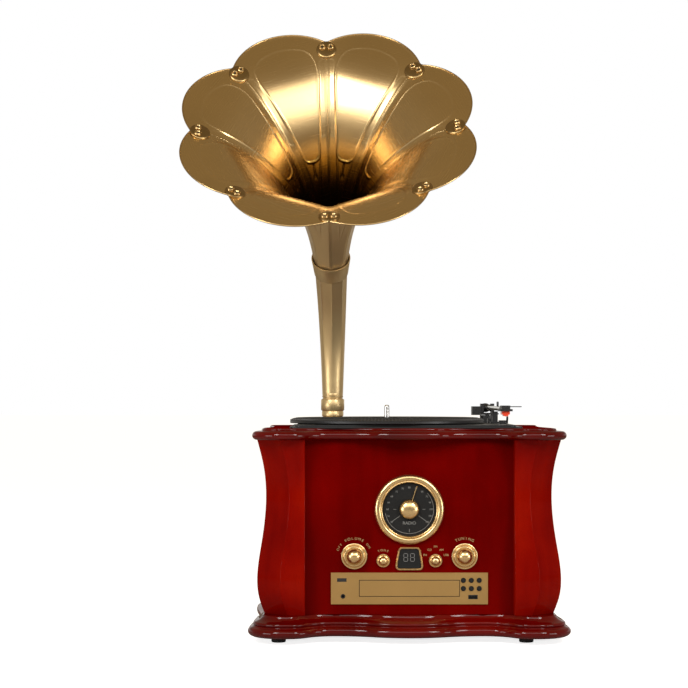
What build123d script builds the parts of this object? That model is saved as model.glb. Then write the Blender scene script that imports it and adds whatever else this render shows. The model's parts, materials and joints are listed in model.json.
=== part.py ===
# Gramophone-style music centre: record player, radio, disc drawer and a swivelling petal horn.
from build123d import *
import os
from math import cos, radians, sin, sqrt

# Lengths are millimetres.  The model is laid out about the cabinet's centre line, with X to the
# right, Y to the back and Z up from the surface that the feet stand on.  HOME then moves every
# piece so that the origin is under the middle of the whole object, horn included.
HOME = Location((45.8, 53.9, 0.0))

# Heights, from the surface up
FOOT_HEIGHT = 9.0
PLINTH_STEPS = ((9.0, 23.6, 0.0), (23.6, 31.6, 9.5), (31.6, 38.0, 16.0))   # bottom, top, inset
CARCASS_BOTTOM = 38.0
CARCASS_TOP = 278.4
CARCASS_HEIGHT = CARCASS_TOP - CARCASS_BOTTOM
TOP_STEPS = ((278.4, 290.4, 5.8), (290.4, 294.0, 20.0))                    # bottom, top, inset
TOP_SURFACE = 294.0

FOOT_PADS = ((-180, -150), (161, -150), (-180, 166), (161, 166))
FOOT_PAD_RADIUS = 10.0
FLOOR_BOTTOM, FLOOR_TOP = 12.0, 22.0          # bottom board
BASE_OPENING = (370.0, 290.0)                 # inside the base moulding
BASE_OPENING_Y = 8.0
LID_OPENING = (296.0, 250.0)                  # under the record deck
LID_OPENING_CENTRE = (-5.0, -14.0)

# Plan of the mouldings
HALF_WIDTH = 222.4
LOBE_X, LOBE_Y = 170.0, -200.0
RECESS_X, RECESS_Y = 102.0, -167.0
BULGE_Y = -190.0
BACK_Y = 185.0
BACK_CORNER = 40.0
SIDE_RECESS_X = 213.5

# Posts: half-width of the cabinet at each height, along the S-curve
POST_CURVE = ((38.0, 200.4), (60.0, 207.4), (85.0, 210.0), (139.0, 203.6), (201.0, 198.1),
              (243.0, 201.7), (278.4, 210.0))
FRONT_FACET = 35.0        # the front facet stands this much nearer the centre than the side facet
CORNER_FACET = 34.0       # the same for the 45 degree facet, measured square to it
POST_INNER_X = 143.5
POST_INNER_Y = -110.0
MIRROR_Y = -1.0           # the rear posts are the front ones mirrored in this plane

# Panels
PANEL_FRONT = -150.0
PANEL_THICK = 12.0
SIDE_PANEL_X = 188.0
SIDE_PANEL_THICK = 8.0
REAR_PANEL_Y = 156.2
REAR_PANEL_THICK = 7.0
SPEAKER = (0.0, 160.0)             # y, z of each side speaker
SPEAKER_RADIUS = 50.0
SOCKET_PLATE = (70.0, 120.0)       # x, z of the plate with the line-out sockets
SOCKET_PITCH = 24.0
INLET = (-90.0, 80.0)              # x, z of the mains inlet
TRANSFORMER = (-120.0, 60.0)

# Front controls: x, z of each centre
DIAL = (0.0, 182.5)
VOLUME = (-76.0, 118.0)
TUNING = (76.0, 118.0)
TONE = (-36.0, 112.0)
SELECTOR = (36.0, 112.0)
DISPLAY = (0.0, 114.6)
BIG_KNOB, SMALL_KNOB = 18.0, 9.5
SHAFT = 3.0
RUNNING_FIT = 0.05
BOARD_DEPTH = 45.0        # circuit board, behind the front of the panel
DIAL_RIM, DIAL_OPENING, DIAL_HUB = 48.35, 36.75, 13.75
TUNING_DRUM = 7.5
DRUM_RATIO = 3.0

# Disc drawer and its plate
PLATE_X, PLATE_LOW, PLATE_HIGH, PLATE_THICK = 108.0, 52.0, 95.5, 2.0
DRAWER_WIDTH, DRAWER_HEIGHT, DRAWER_Z = 137.0, 21.4, 74.0
TRAY_WIDTH, TRAY_THICK, TRAY_LENGTH = 128.0, 11.0, 132.0
DISC_CENTRE_Y, DISC_RECESS_RADIUS, DISC_RECESS_DEPTH = -83.0, 60.5, 3.0
BUTTON_X = (74.3, 85.2, 96.1)
BUTTON_Z = (84.9, 73.6)
BUTTON_RADIUS = 3.3
BUTTON_NAMES = (("play", "stop", "repeat"), ("back", "next", "mode"))
JACK = (-91.4, 63.0)
JACK_BORE = 1.75
USB = (87.5, 62.0)

# Record player
SPINDLE = (-28.0, -15.0)
SPINDLE_RADIUS, SPINDLE_TOP = 3.55, 325.8
SHAFT_RADIUS, SHAFT_END, SPINDLE_SHOULDER = 3.0, 263.0, 4.05
PLATTER_RADIUS, PLATTER_UNDER, PLATTER_TOP = 140.0, 299.5, 306.5
MAT_TOP = 307.5
DECK_TOP = 298.5
DECK_SIZE, DECK_CENTRE = (322.0, 272.0), (-4.0, -14.0)
WELL_FLOOR = 288.5
BEARING_BOTTOM = 262.0
MOTOR_SHAFT, MOTOR_RADIUS, MOTOR_HEIGHT = 1.5, 16.0, 30.0
DRIVE_RADIUS, PULLEY_RADIUS = 80.0, 6.5
MOTOR = (-107.2, -94.2)
ARM_PIVOT = (126.0, 105.0, 320.6)
STYLUS = (136.0, -105.0)
ARM_LENGTH = 210.2
TUBE_RADIUS = 3.2

# Horn
SWIVEL = (-107.3, 140.0)
HORN_YAW, HORN_ROLL = 1.0, 1.6
BELL_ELEVATION = 42.0
ELBOW_FOOT, ELBOW_BEND_START, ELBOW_BEND_RADIUS = 342.4, 364.6, 170.0
ELBOW_RUN_OUT = 48.0
SLEEVE_LENGTH = 28.0
SHEET = 1.2
FOOT_RADIUS, MOUTH_RADIUS = 15.8, 23.0        # outside of the elbow at its two ends
SWIVEL_TENON, TENON_BOTTOM, SOCKET_BOTTOM = 13.0, 264.5, 258.0
DRIVER_SHIFT = 19.0                           # the driver sits forward of the swivel axis
SLEEVE_MOUTH = 28.6
PETALS = 8
PETAL_TIP, LOBE_RADIUS = 210.0, 89.5
# Bell: distance along the axis from the sleeve's mouth, and radius
BELL_CURVE = ((-6.0, 24.8), (35.0, 30.3), (100.0, 46.8), (167.0, 81.7), (210.0, 120.0),
              (230.0, 146.0), (243.0, 176.0), (250.5, 211.0))
CLIP_RADIUS, CLIP_AT = 14.5, 176.0

os.makedirs("parts", exist_ok=True)


def save(piece, name, place=Location()):
    """Label a finished piece, put it in its place and write it."""
    solid = piece.part.moved(HOME * place)
    solid.label = name
    export_step(solid, f"parts/{name}.step")


def facing_front(x=0.0, z=0.0, out=0.0):
    """A plane on the front panel's face, looking out of the cabinet."""
    return Plane(origin=(x, PANEL_FRONT - out, z), x_dir=(1, 0, 0), z_dir=(0, -1, 0))


# ------------------------------------------------------------------ cabinet

def s_curve(start, end, along):
    """Two equal arcs between two points whose tangents both run in one direction."""
    middle = ((start[0] + end[0]) / 2, (start[1] + end[1]) / 2)
    first = TangentArc(start, middle, tangent=along)
    TangentArc(middle, end, tangent=first % 1)


with BuildSketch() as plan:
    with BuildLine():
        s_curve((0, BULGE_Y), (RECESS_X, RECESS_Y), (1, 0))
        s_curve((RECESS_X, RECESS_Y), (LOBE_X, LOBE_Y), (1, 0))
        side_y = LOBE_Y + HALF_WIDTH - LOBE_X
        TangentArc((LOBE_X, LOBE_Y), (HALF_WIDTH, side_y), tangent=(1, 0))
        s_curve((HALF_WIDTH, side_y), (SIDE_RECESS_X, MIRROR_Y), (0, 1))
        s_curve((SIDE_RECESS_X, MIRROR_Y), (HALF_WIDTH, BACK_Y - BACK_CORNER), (0, 1))
        TangentArc((HALF_WIDTH, BACK_Y - BACK_CORNER), (HALF_WIDTH - BACK_CORNER, BACK_Y), tangent=(0, 1))
        Line((HALF_WIDTH - BACK_CORNER, BACK_Y), (0, BACK_Y))
        mirror(about=Plane.YZ)
    make_face()

with BuildPart() as base_moulding:
    for bottom, top, inset in PLINTH_STEPS:
        with BuildSketch(Plane.XY.offset(bottom)):
            add(plan.sketch)
            if inset:
                offset(amount=-inset)
        extrude(amount=top - bottom)
    fillet(base_moulding.edges().group_by(Axis.Z)[0], 4.0)
    with BuildSketch(Plane.XY):
        with Locations((0, BASE_OPENING_Y)):
            Rectangle(*BASE_OPENING)
    extrude(amount=CARCASS_BOTTOM, mode=Mode.SUBTRACT)
save(base_moulding, "base_moulding")

with BuildPart() as bottom_board:
    with BuildSketch(Plane.XY.offset(FLOOR_BOTTOM)):
        with Locations((0, BASE_OPENING_Y)):
            Rectangle(*BASE_OPENING)
    extrude(amount=FLOOR_TOP - FLOOR_BOTTOM)
    with BuildSketch(Plane.XY.offset(FLOOR_BOTTOM)):
        with GridLocations(260, 160, 2, 2):
            SlotOverall(40, 5)
    extrude(amount=FLOOR_TOP - FLOOR_BOTTOM, mode=Mode.SUBTRACT)
save(bottom_board, "bottom_board")

with BuildPart() as rubber_feet:
    with BuildSketch():
        with Locations(*FOOT_PADS):
            Circle(FOOT_PAD_RADIUS)
    extrude(amount=FOOT_HEIGHT)
    chamfer(rubber_feet.edges().group_by(Axis.Z)[0], 1.0)
save(rubber_feet, "rubber_feet")


def post_profile(stretch, inset):
    """The S-curve seen square on to one facet, as a face that reaches in towards the centre."""
    points = [((half_width - inset) * stretch, height) for height, half_width in POST_CURVE]
    inner = POST_INNER_X / 2
    with BuildSketch() as profile:
        with BuildLine():
            Spline(*points)
            Polyline(points[-1], (inner, points[-1][1]), (inner, points[0][1]), points[0])
        make_face()
    return profile.sketch


with BuildPart() as corner_posts:
    with BuildSketch(Plane.XY.offset(CARCASS_BOTTOM)):
        with BuildLine():
            panel_back = PANEL_FRONT + PANEL_THICK
            Polyline((POST_INNER_X, panel_back), (POST_INNER_X, -HALF_WIDTH), (HALF_WIDTH, -HALF_WIDTH),
                     (HALF_WIDTH, POST_INNER_Y), (SIDE_PANEL_X, POST_INNER_Y), (SIDE_PANEL_X, panel_back),
                     (POST_INNER_X, panel_back))
        make_face()
    extrude(amount=CARCASS_HEIGHT)
    with BuildSketch(Plane.XZ):
        add(post_profile(1.0, 0.0))
    extrude(amount=HALF_WIDTH, both=True, mode=Mode.INTERSECT)
    with BuildSketch(Plane(origin=(0, 0, 0), x_dir=(0, -1, 0), z_dir=(-1, 0, 0))):
        add(post_profile(1.0, FRONT_FACET))
    extrude(amount=HALF_WIDTH, both=True, mode=Mode.INTERSECT)
    with BuildSketch(Plane(origin=(0, 0, 0), x_dir=(1, -1, 0), z_dir=(-1, -1, 0))):
        add(post_profile(sqrt(2), CORNER_FACET))
    extrude(amount=2 * HALF_WIDTH, both=True, mode=Mode.INTERSECT)
    mirror(about=Plane.YZ)
    mirror(about=Plane.XZ.offset(-MIRROR_Y))
save(corner_posts, "corner_posts")

with BuildPart() as front_panel:
    with BuildSketch(facing_front()):
        with Locations((0, (CARCASS_BOTTOM + CARCASS_TOP) / 2)):
            Rectangle(2 * POST_INNER_X, CARCASS_HEIGHT)
    extrude(amount=-PANEL_THICK)
    with BuildSketch(facing_front(*DIAL)):
        Circle(42)
    extrude(amount=-4, mode=Mode.SUBTRACT)
    with BuildSketch(facing_front()):
        with Locations(DIAL):
            Circle(8)
        with Locations(VOLUME, TUNING, TONE, SELECTOR):
            Circle(SHAFT + 1)
        with Locations(DISPLAY):
            Rectangle(26, 24)
        with Locations((0, DRAWER_Z)):
            Rectangle(DRAWER_WIDTH + 3, DRAWER_HEIGHT + 3)
        with Locations(JACK):
            Circle(4)
        with Locations(USB):
            Rectangle(15, 8)
        with Locations(*[(x, z) for x in BUTTON_X for z in BUTTON_Z]):
            Circle(BUTTON_RADIUS + 0.7)
    extrude(amount=-PANEL_THICK, mode=Mode.SUBTRACT)
save(front_panel, "front_panel")

with BuildPart() as side_panels:
    depth = 2 * (MIRROR_Y - POST_INNER_Y)
    with BuildSketch(Plane.YZ.offset(SIDE_PANEL_X)):
        with Locations((MIRROR_Y, (CARCASS_BOTTOM + CARCASS_TOP) / 2)):
            Rectangle(depth, CARCASS_HEIGHT)
        with Locations(SPEAKER):
            Circle(SPEAKER_RADIUS - 4, mode=Mode.SUBTRACT)
    extrude(amount=SIDE_PANEL_THICK)
    mirror(about=Plane.YZ)
save(side_panels, "side_panels")

with BuildPart() as speaker_grilles:
    with BuildSketch(Plane.YZ.offset(SIDE_PANEL_X + SIDE_PANEL_THICK)):
        with Locations(SPEAKER):
            Circle(SPEAKER_RADIUS + 3)
            with GridLocations(11, 11, 7, 7):
                Circle(3.2, mode=Mode.SUBTRACT)
    extrude(amount=2.5)
    mirror(about=Plane.YZ)
save(speaker_grilles, "speaker_grilles")

with BuildPart() as side_speakers:
    with BuildSketch(Plane.YZ.offset(SIDE_PANEL_X - 4)):
        with Locations(SPEAKER):
            Circle(SPEAKER_RADIUS + 2)
            Circle(SPEAKER_RADIUS - 7, mode=Mode.SUBTRACT)
    extrude(amount=4)
    with BuildSketch(Plane.YZ.offset(SIDE_PANEL_X - 4)):
        with Locations(SPEAKER):
            Circle(SPEAKER_RADIUS - 7)
    with BuildSketch(Plane.YZ.offset(SIDE_PANEL_X - 22)):
        with Locations(SPEAKER):
            Circle(16)
    loft()
    with BuildSketch(Plane.YZ.offset(SIDE_PANEL_X - 38)):
        with Locations(SPEAKER):
            Circle(24)
    extrude(amount=16)
    mirror(about=Plane.YZ)
save(side_speakers, "side_speakers")

rear_face = Plane(origin=(0, REAR_PANEL_Y + REAR_PANEL_THICK, 0), x_dir=(-1, 0, 0), z_dir=(0, 1, 0))

with BuildPart() as rear_panel:
    with BuildSketch(rear_face):
        with Locations((0, (CARCASS_BOTTOM + CARCASS_TOP) / 2)):
            Rectangle(2 * POST_INNER_X, CARCASS_HEIGHT)
        with Locations((-SOCKET_PLATE[0], SOCKET_PLATE[1])):
            Rectangle(50, 24, mode=Mode.SUBTRACT)
        with Locations((-INLET[0], INLET[1])):
            Rectangle(28, 18, mode=Mode.SUBTRACT)
        with Locations((0, 200)):
            with GridLocations(0, 12, 1, 5):
                SlotOverall(120, 5, mode=Mode.SUBTRACT)
    extrude(amount=-REAR_PANEL_THICK)
save(rear_panel, "rear_panel")

with BuildPart() as rear_sockets:
    with BuildSketch(rear_face):
        with Locations((-SOCKET_PLATE[0], SOCKET_PLATE[1])):
            Rectangle(60, 32)
    extrude(amount=1.5)
    with BuildSketch(rear_face):
        with Locations((-SOCKET_PLATE[0], SOCKET_PLATE[1])):
            with GridLocations(SOCKET_PITCH, 0, 2, 1):
                Circle(5.5)
    extrude(amount=-12)
    with BuildSketch(rear_face):
        with Locations((-SOCKET_PLATE[0], SOCKET_PLATE[1])):
            with GridLocations(SOCKET_PITCH, 0, 2, 1):
                Circle(4.15)
    extrude(amount=10.5)
    with BuildSketch(rear_face.offset(10.5)):
        with Locations((-SOCKET_PLATE[0], SOCKET_PLATE[1])):
            with GridLocations(SOCKET_PITCH, 0, 2, 1):
                Circle(1.6)
    extrude(amount=-9, mode=Mode.SUBTRACT)
save(rear_sockets, "rear_sockets")

with BuildPart() as mains_inlet:
    with BuildSketch(rear_face):
        with Locations((-INLET[0], INLET[1])):
            RectangleRounded(34, 24, 3)
    extrude(amount=2)
    with BuildSketch(rear_face):
        with Locations((-INLET[0], INLET[1])):
            Rectangle(26, 16)
    extrude(amount=-18)
    with BuildSketch(rear_face.offset(2)):
        with Locations((-INLET[0], INLET[1])):
            SlotOverall(20, 11)
    extrude(amount=-14, mode=Mode.SUBTRACT)
    with BuildSketch(rear_face.offset(-13)):
        with Locations((-INLET[0], INLET[1])):
            with GridLocations(8.6, 0, 2, 1):
                Circle(1.2)
    extrude(amount=8)
save(mains_inlet, "mains_inlet")

with BuildPart() as top_board:
    for bottom, top, inset in TOP_STEPS:
        with BuildSketch(Plane.XY.offset(bottom)):
            add(plan.sketch)
            offset(amount=-inset)
        extrude(amount=top - bottom)
    fillet(top_board.edges().group_by(Axis.Z)[0], 5.0)
    fillet(top_board.edges().group_by(Axis.Z)[-1], 1.5)
    with BuildSketch(Plane.XY.offset(CARCASS_TOP)):
        with Locations(LID_OPENING_CENTRE):
            Rectangle(*LID_OPENING)
        with Locations(SWIVEL):
            Circle(16)
    extrude(amount=TOP_SURFACE - CARCASS_TOP, mode=Mode.SUBTRACT)
save(top_board, "top_board")

# ------------------------------------------------------------------ front controls


def knob(plane, rings, dome_radius, dome_base, dome_top):
    """A turned knob: stacked rings, a rounded dome and the shaft that carries it."""
    with BuildPart() as turned:
        for radius, start, end in rings:
            with BuildSketch(plane.offset(start)):
                Circle(radius)
            extrude(amount=end - start)
        with BuildSketch(plane.offset(dome_base)):
            Circle(dome_radius)
        extrude(amount=dome_top - dome_base)
        crown = turned.edges().sort_by(Axis.Y)[0]
        fillet(crown, (dome_top - dome_base) * 0.8)
        with BuildSketch(plane.offset(0.5)):
            Circle(SHAFT)
        extrude(amount=-(BOARD_DEPTH - 0.5))
    return turned


big_rings = ((BIG_KNOB, 0.5, 3.5), (BIG_KNOB - 3, 3.5, 7.0), (BIG_KNOB - 6, 7.0, 9.5))
small_rings = ((SMALL_KNOB, 0.5, 3.0), (SMALL_KNOB - 1.8, 3.0, 6.0))

volume_knob = knob(facing_front(*VOLUME), big_rings, 9.75, 9.5, 17.0)
save(volume_knob, "volume_knob")

with BuildPart() as tuning_knob:
    add(knob(facing_front(*TUNING), big_rings, 9.75, 9.5, 17.0).part)
    for radius, start, end in ((TUNING_DRUM + 3, -21.5, -20.0), (TUNING_DRUM, -25.0, -21.5),
                               (TUNING_DRUM + 3, -26.5, -25.0)):
        with BuildSketch(facing_front(*TUNING, out=start)):
            Circle(radius)
        extrude(amount=end - start)
save(tuning_knob, "tuning_knob")

tone_knob = knob(facing_front(*TONE), small_rings, 5.6, 6.0, 11.5)
save(tone_knob, "tone_knob")

with BuildPart() as selector_knob:
    add(knob(facing_front(*SELECTOR), small_rings, 5.6, 6.0, 11.5).part)
    with BuildSketch(facing_front(*SELECTOR, out=11.6).rotated((0, 0, 20))):
        with Locations((6, 0)):
            Rectangle(8, 1.6)
    extrude(amount=-6, mode=Mode.SUBTRACT)
save(selector_knob, "selector_knob")

with BuildPart() as dial_pointer:
    with BuildSketch(facing_front(*DIAL)):
        Circle(DIAL_HUB)
    extrude(amount=8)
    fillet(dial_pointer.edges().sort_by(Axis.Y)[0], 6.0)
    with BuildSketch(facing_front(*DIAL).rotated((0, 0, -18))):
        with Locations((0, 21)):
            Trapezoid(2.4, 24, 87.5)
    extrude(amount=1.2)
    with BuildSketch(facing_front(*DIAL)):
        Circle(SHAFT)
    extrude(amount=-(BOARD_DEPTH - 0.5))
    drum = TUNING_DRUM * DRUM_RATIO
    for radius, start, end in ((drum + 3, -21.5, -20.0), (drum, -25.0, -21.5), (drum + 3, -26.5, -25.0)):
        with BuildSketch(facing_front(*DIAL, out=start)):
            Circle(radius)
        extrude(amount=end - start)
save(dial_pointer, "dial_pointer")

with BuildPart() as dial_cord:
    with BuildSketch(facing_front(out=-23.8)):
        for slack, mode in ((1.6, Mode.ADD), (0.4, Mode.SUBTRACT)):
            with BuildSketch(mode=Mode.PRIVATE) as loop:
                with Locations(DIAL):
                    Circle(TUNING_DRUM * DRUM_RATIO + slack)
                with Locations(TUNING):
                    Circle(TUNING_DRUM + slack)
                make_hull()
            add(loop.sketch, mode=mode)
    extrude(amount=1.2)
save(dial_cord, "dial_cord")

with BuildPart() as dial_face:
    with BuildSketch(facing_front(*DIAL, out=-4)):
        Circle(41.9)
        Circle(SHAFT + 0.6, mode=Mode.SUBTRACT)
    extrude(amount=3)
save(dial_face, "dial_face")

with BuildPart() as dial_bezel:
    with BuildSketch(facing_front(*DIAL)):
        Circle(DIAL_RIM)
        Circle(DIAL_OPENING, mode=Mode.SUBTRACT)
    extrude(amount=7)
    rims = dial_bezel.edges().group_by(Axis.Y)[0].sort_by(SortBy.LENGTH)
    fillet(rims[-1], 5.0)
    chamfer(rims[0], 3.0)
save(dial_bezel, "dial_bezel")


def display_outline(margin):
    """Rounded trapezoid, wider at the bottom."""
    with BuildSketch() as outline:
        Trapezoid(40.8, 32.0, 80.0)
        fillet(outline.vertices(), 6.0)
        if margin:
            offset(amount=-margin)
    return outline.sketch


with BuildPart() as display_bezel:
    with BuildSketch(facing_front(*DISPLAY)):
        add(display_outline(0.0))
        add(display_outline(2.6), mode=Mode.SUBTRACT)
    extrude(amount=3.0)
    chamfer(display_bezel.edges().group_by(Axis.Y)[0], 0.8)
save(display_bezel, "display_bezel")

with BuildPart() as display_window:
    with BuildSketch(facing_front(*DISPLAY)):
        add(display_outline(2.6))
    extrude(amount=1.5)
    with BuildSketch(facing_front(*DISPLAY)):
        Rectangle(25.8, 23.8)
    extrude(amount=-8)
save(display_window, "display_window")

with BuildPart() as cd_panel:
    with BuildSketch(facing_front()):
        with Locations((0, (PLATE_LOW + PLATE_HIGH) / 2)):
            Rectangle(2 * PLATE_X, PLATE_HIGH - PLATE_LOW)
        with Locations((0, DRAWER_Z)):
            Rectangle(DRAWER_WIDTH + 1.4, DRAWER_HEIGHT + 1.4, mode=Mode.SUBTRACT)
        with Locations(JACK):
            Circle(3.2, mode=Mode.SUBTRACT)
        with Locations(USB):
            Rectangle(13.1, 6.0, mode=Mode.SUBTRACT)
        with Locations(*[(x, z) for x in BUTTON_X for z in BUTTON_Z]):
            Circle(BUTTON_RADIUS + 0.3, mode=Mode.SUBTRACT)
    extrude(amount=PLATE_THICK)
save(cd_panel, "cd_panel")

with BuildPart() as cd_drawer:
    with BuildSketch(facing_front(0, DRAWER_Z, out=-1)):
        Rectangle(DRAWER_WIDTH, DRAWER_HEIGHT)
    extrude(amount=3.6)
    with BuildSketch(facing_front(0, DRAWER_Z - 2, out=-1)):
        Rectangle(TRAY_WIDTH, TRAY_THICK)
    extrude(amount=-TRAY_LENGTH)
    with BuildSketch(Plane.XY.offset(DRAWER_Z - 2 + TRAY_THICK / 2)):
        with Locations((0, DISC_CENTRE_Y)):
            Circle(DISC_RECESS_RADIUS)
    extrude(amount=-DISC_RECESS_DEPTH, mode=Mode.SUBTRACT)
    with BuildSketch(Plane.XY.offset(DRAWER_Z - 2 + TRAY_THICK / 2)):
        with Locations((0, DISC_CENTRE_Y)):
            Circle(18)
    extrude(amount=-20, mode=Mode.SUBTRACT)
save(cd_drawer, "cd_drawer")

with BuildPart() as cd_mechanism:
    with BuildSketch(facing_front(0, DRAWER_Z - 1, out=-13)):
        Rectangle(146, 34)
    extrude(amount=-140)
    with BuildSketch(facing_front(0, DRAWER_Z, out=-13)):
        Rectangle(132, 24)
    extrude(amount=-134, mode=Mode.SUBTRACT)
    with BuildSketch(Plane.XY.offset(FLOOR_TOP)):
        with Locations((0, PANEL_FRONT + 83)):
            with GridLocations(120, 110, 2, 2):
                Circle(4)
    extrude(amount=DRAWER_Z - 18 - FLOOR_TOP)
save(cd_mechanism, "cd_mechanism")

for z, row in zip(BUTTON_Z, BUTTON_NAMES):
    for x, name in zip(BUTTON_X, row):
        with BuildPart() as button:
            with BuildSketch(facing_front(x, z, out=-11)):
                Circle(BUTTON_RADIUS)
            extrude(amount=15)
            fillet(button.edges().sort_by(Axis.Y)[0], 0.8)
        save(button, f"button_{name}")

with BuildPart() as usb_socket:
    with BuildSketch(facing_front(*USB, out=PLATE_THICK)):
        Rectangle(13.0, 5.9)
        Rectangle(12.0, 4.9, mode=Mode.SUBTRACT)
    extrude(amount=-18)
    with BuildSketch(facing_front(*USB, out=-16)):
        Rectangle(13.0, 5.9)
    extrude(amount=-2)
save(usb_socket, "usb_socket")

with BuildPart() as headphone_socket:
    with BuildSketch(facing_front(*JACK, out=PLATE_THICK + 0.6)):
        Circle(3.15)
    extrude(amount=-16)
    with BuildSketch(facing_front(*JACK, out=PLATE_THICK + 0.6)):
        Circle(JACK_BORE)
    extrude(amount=-14.5, mode=Mode.SUBTRACT)
save(headphone_socket, "headphone_socket")

with BuildPart() as main_board:
    with BuildSketch(facing_front(0, 157, out=-BOARD_DEPTH)):
        Rectangle(220, 114)
    extrude(amount=-1.6)
    with BuildSketch(facing_front(out=-BOARD_DEPTH)):
        with Locations(VOLUME, TUNING, TONE, SELECTOR, DIAL):
            Circle(9)
    extrude(amount=14)
    with BuildSketch(facing_front(out=-BOARD_DEPTH)):
        with Locations(VOLUME, TUNING, TONE, SELECTOR, DIAL):
            Circle(SHAFT + RUNNING_FIT)
    extrude(amount=14, mode=Mode.SUBTRACT)
    with BuildSketch(facing_front(88.5, 81, out=-13)):
        Rectangle(28, 24)
    extrude(amount=-1.6)
save(main_board, "main_board")

with BuildPart() as power_transformer:
    with BuildSketch(Plane.XY.offset(FLOOR_TOP)):
        with Locations(TRANSFORMER):
            Rectangle(66, 44)
    extrude(amount=50)
    with BuildSketch(Plane.XY.offset(FLOOR_TOP + 10)):
        with Locations(TRANSFORMER):
            Rectangle(44, 62)
    extrude(amount=30)
save(power_transformer, "power_transformer")

# ------------------------------------------------------------------ record player

with BuildSketch() as well_plan:
    with Locations(SPINDLE):
        Circle(90)
    with Locations(MOTOR):
        Circle(14)
    make_hull()

with BuildPart() as deck_plate:
    with BuildSketch(Plane.XY.offset(TOP_SURFACE)):
        with Locations(DECK_CENTRE):
            RectangleRounded(*DECK_SIZE, 10)
    extrude(amount=2)
    with BuildSketch(Plane.XY.offset(TOP_SURFACE)):
        with Locations((-4.5, -14)):
            RectangleRounded(305, 262, 8)
    extrude(amount=DECK_TOP - TOP_SURFACE)
    with BuildSketch(Plane.XY.offset(WELL_FLOOR - 2)):
        add(well_plan.sketch)
        offset(amount=2)
    extrude(amount=TOP_SURFACE - WELL_FLOOR + 2)
    with BuildSketch(Plane.XY.offset(WELL_FLOOR)):
        add(well_plan.sketch)
    extrude(amount=20, mode=Mode.SUBTRACT)
    with BuildSketch(Plane.XY.offset(BEARING_BOTTOM)):
        with Locations(SPINDLE):
            Circle(8)
    extrude(amount=WELL_FLOOR + 2 - BEARING_BOTTOM)
    with BuildSketch(Plane.XY.offset(BEARING_BOTTOM)):
        with Locations(SPINDLE):
            Circle(SHAFT_RADIUS + RUNNING_FIT)
        with Locations(MOTOR):
            Circle(4)
    extrude(amount=40, mode=Mode.SUBTRACT)
save(deck_plate, "deck_plate")

with BuildPart() as platter:
    with BuildSketch(Plane.XZ):
        with BuildLine():
            Polyline((SHAFT_RADIUS, PLATTER_TOP), (133, PLATTER_TOP), (PLATTER_RADIUS, 303.4),
                     (PLATTER_RADIUS, PLATTER_UNDER), (136, PLATTER_UNDER), (136, 303),
                     (DRIVE_RADIUS, 303), (DRIVE_RADIUS, 289.5), (DRIVE_RADIUS - 3, 289.5),
                     (DRIVE_RADIUS - 3, 303), (12, 303), (12, 291), (SHAFT_RADIUS, 291),
                     (SHAFT_RADIUS, PLATTER_TOP))
        make_face()
    revolve(axis=Axis.Z)
save(platter, "platter", Location((*SPINDLE, 0)))

with BuildPart() as platter_mat:
    with BuildSketch(Plane.XY.offset(PLATTER_TOP)):
        Circle(132)
        Circle(SPINDLE_SHOULDER + 0.3, mode=Mode.SUBTRACT)
    extrude(amount=MAT_TOP - PLATTER_TOP)
save(platter_mat, "platter_mat", Location((*SPINDLE, 0)))

with BuildPart() as spindle:
    with BuildSketch(Plane.XY.offset(SHAFT_END)):
        Circle(SHAFT_RADIUS)
    extrude(amount=PLATTER_TOP - SHAFT_END)
    with BuildSketch(Plane.XY.offset(PLATTER_TOP)):
        Circle(SPINDLE_SHOULDER)
    extrude(amount=MAT_TOP - PLATTER_TOP)
    with BuildSketch(Plane.XY.offset(MAT_TOP)):
        Circle(SPINDLE_RADIUS)
    extrude(amount=SPINDLE_TOP - MAT_TOP)
    fillet(spindle.edges().sort_by(Axis.Z)[-1], 2.6)
save(spindle, "spindle", Location((*SPINDLE, 0)))

with BuildPart() as motor:
    with BuildSketch(Plane.XY.offset(WELL_FLOOR - 32)):
        with Locations(MOTOR):
            Circle(MOTOR_RADIUS)
            Circle(MOTOR_SHAFT + RUNNING_FIT, mode=Mode.SUBTRACT)
    extrude(amount=MOTOR_HEIGHT)
save(motor, "motor")

with BuildPart() as motor_pulley:
    with BuildSketch(Plane.XY.offset(WELL_FLOOR - 30)):
        with Locations(MOTOR):
            Circle(MOTOR_SHAFT)
    extrude(amount=38)
    for radius, low, high in ((PULLEY_RADIUS + 1.5, 289.3, 290.0), (PULLEY_RADIUS, 290.0, 296.0),
                              (PULLEY_RADIUS + 1.5, 296.0, 296.8)):
        with BuildSketch(Plane.XY.offset(low)):
            with Locations(MOTOR):
                Circle(radius)
        extrude(amount=high - low)
save(motor_pulley, "motor_pulley")

with BuildPart() as drive_belt:
    with BuildSketch(Plane.XY.offset(290.7)):
        for slack, mode in ((1.4, Mode.ADD), (0.4, Mode.SUBTRACT)):
            with BuildSketch(mode=Mode.PRIVATE) as loop:
                with Locations(SPINDLE):
                    Circle(DRIVE_RADIUS + slack)
                with Locations(MOTOR):
                    Circle(PULLEY_RADIUS + slack)
                make_hull()
            add(loop.sketch, mode=mode)
    extrude(amount=4.6)
save(drive_belt, "drive_belt")

# The arm is laid out in its own frame: x along the tube, y to the right, z up, origin at the pivot
arm_plane = Plane(origin=ARM_PIVOT, x_dir=(STYLUS[0] - ARM_PIVOT[0], STYLUS[1] - ARM_PIVOT[1], 0),
                  z_dir=(0, 0, 1))
ARM = arm_plane.location
DECK_BELOW_ARM = DECK_TOP - ARM_PIVOT[2]
CHEEK_IN, CHEEK_OUT = 5.5, 10.0
YOKE_POST, ARM_PIN = 3.0, 1.2
REST_X, CUE_BAR_X, CUE_LEVER_X = 92.0, 60.0, 132.0      # along the arm from the pivot
CUE_PIN = 1.5
LEVER_Z = DECK_BELOW_ARM + 3.4

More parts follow.
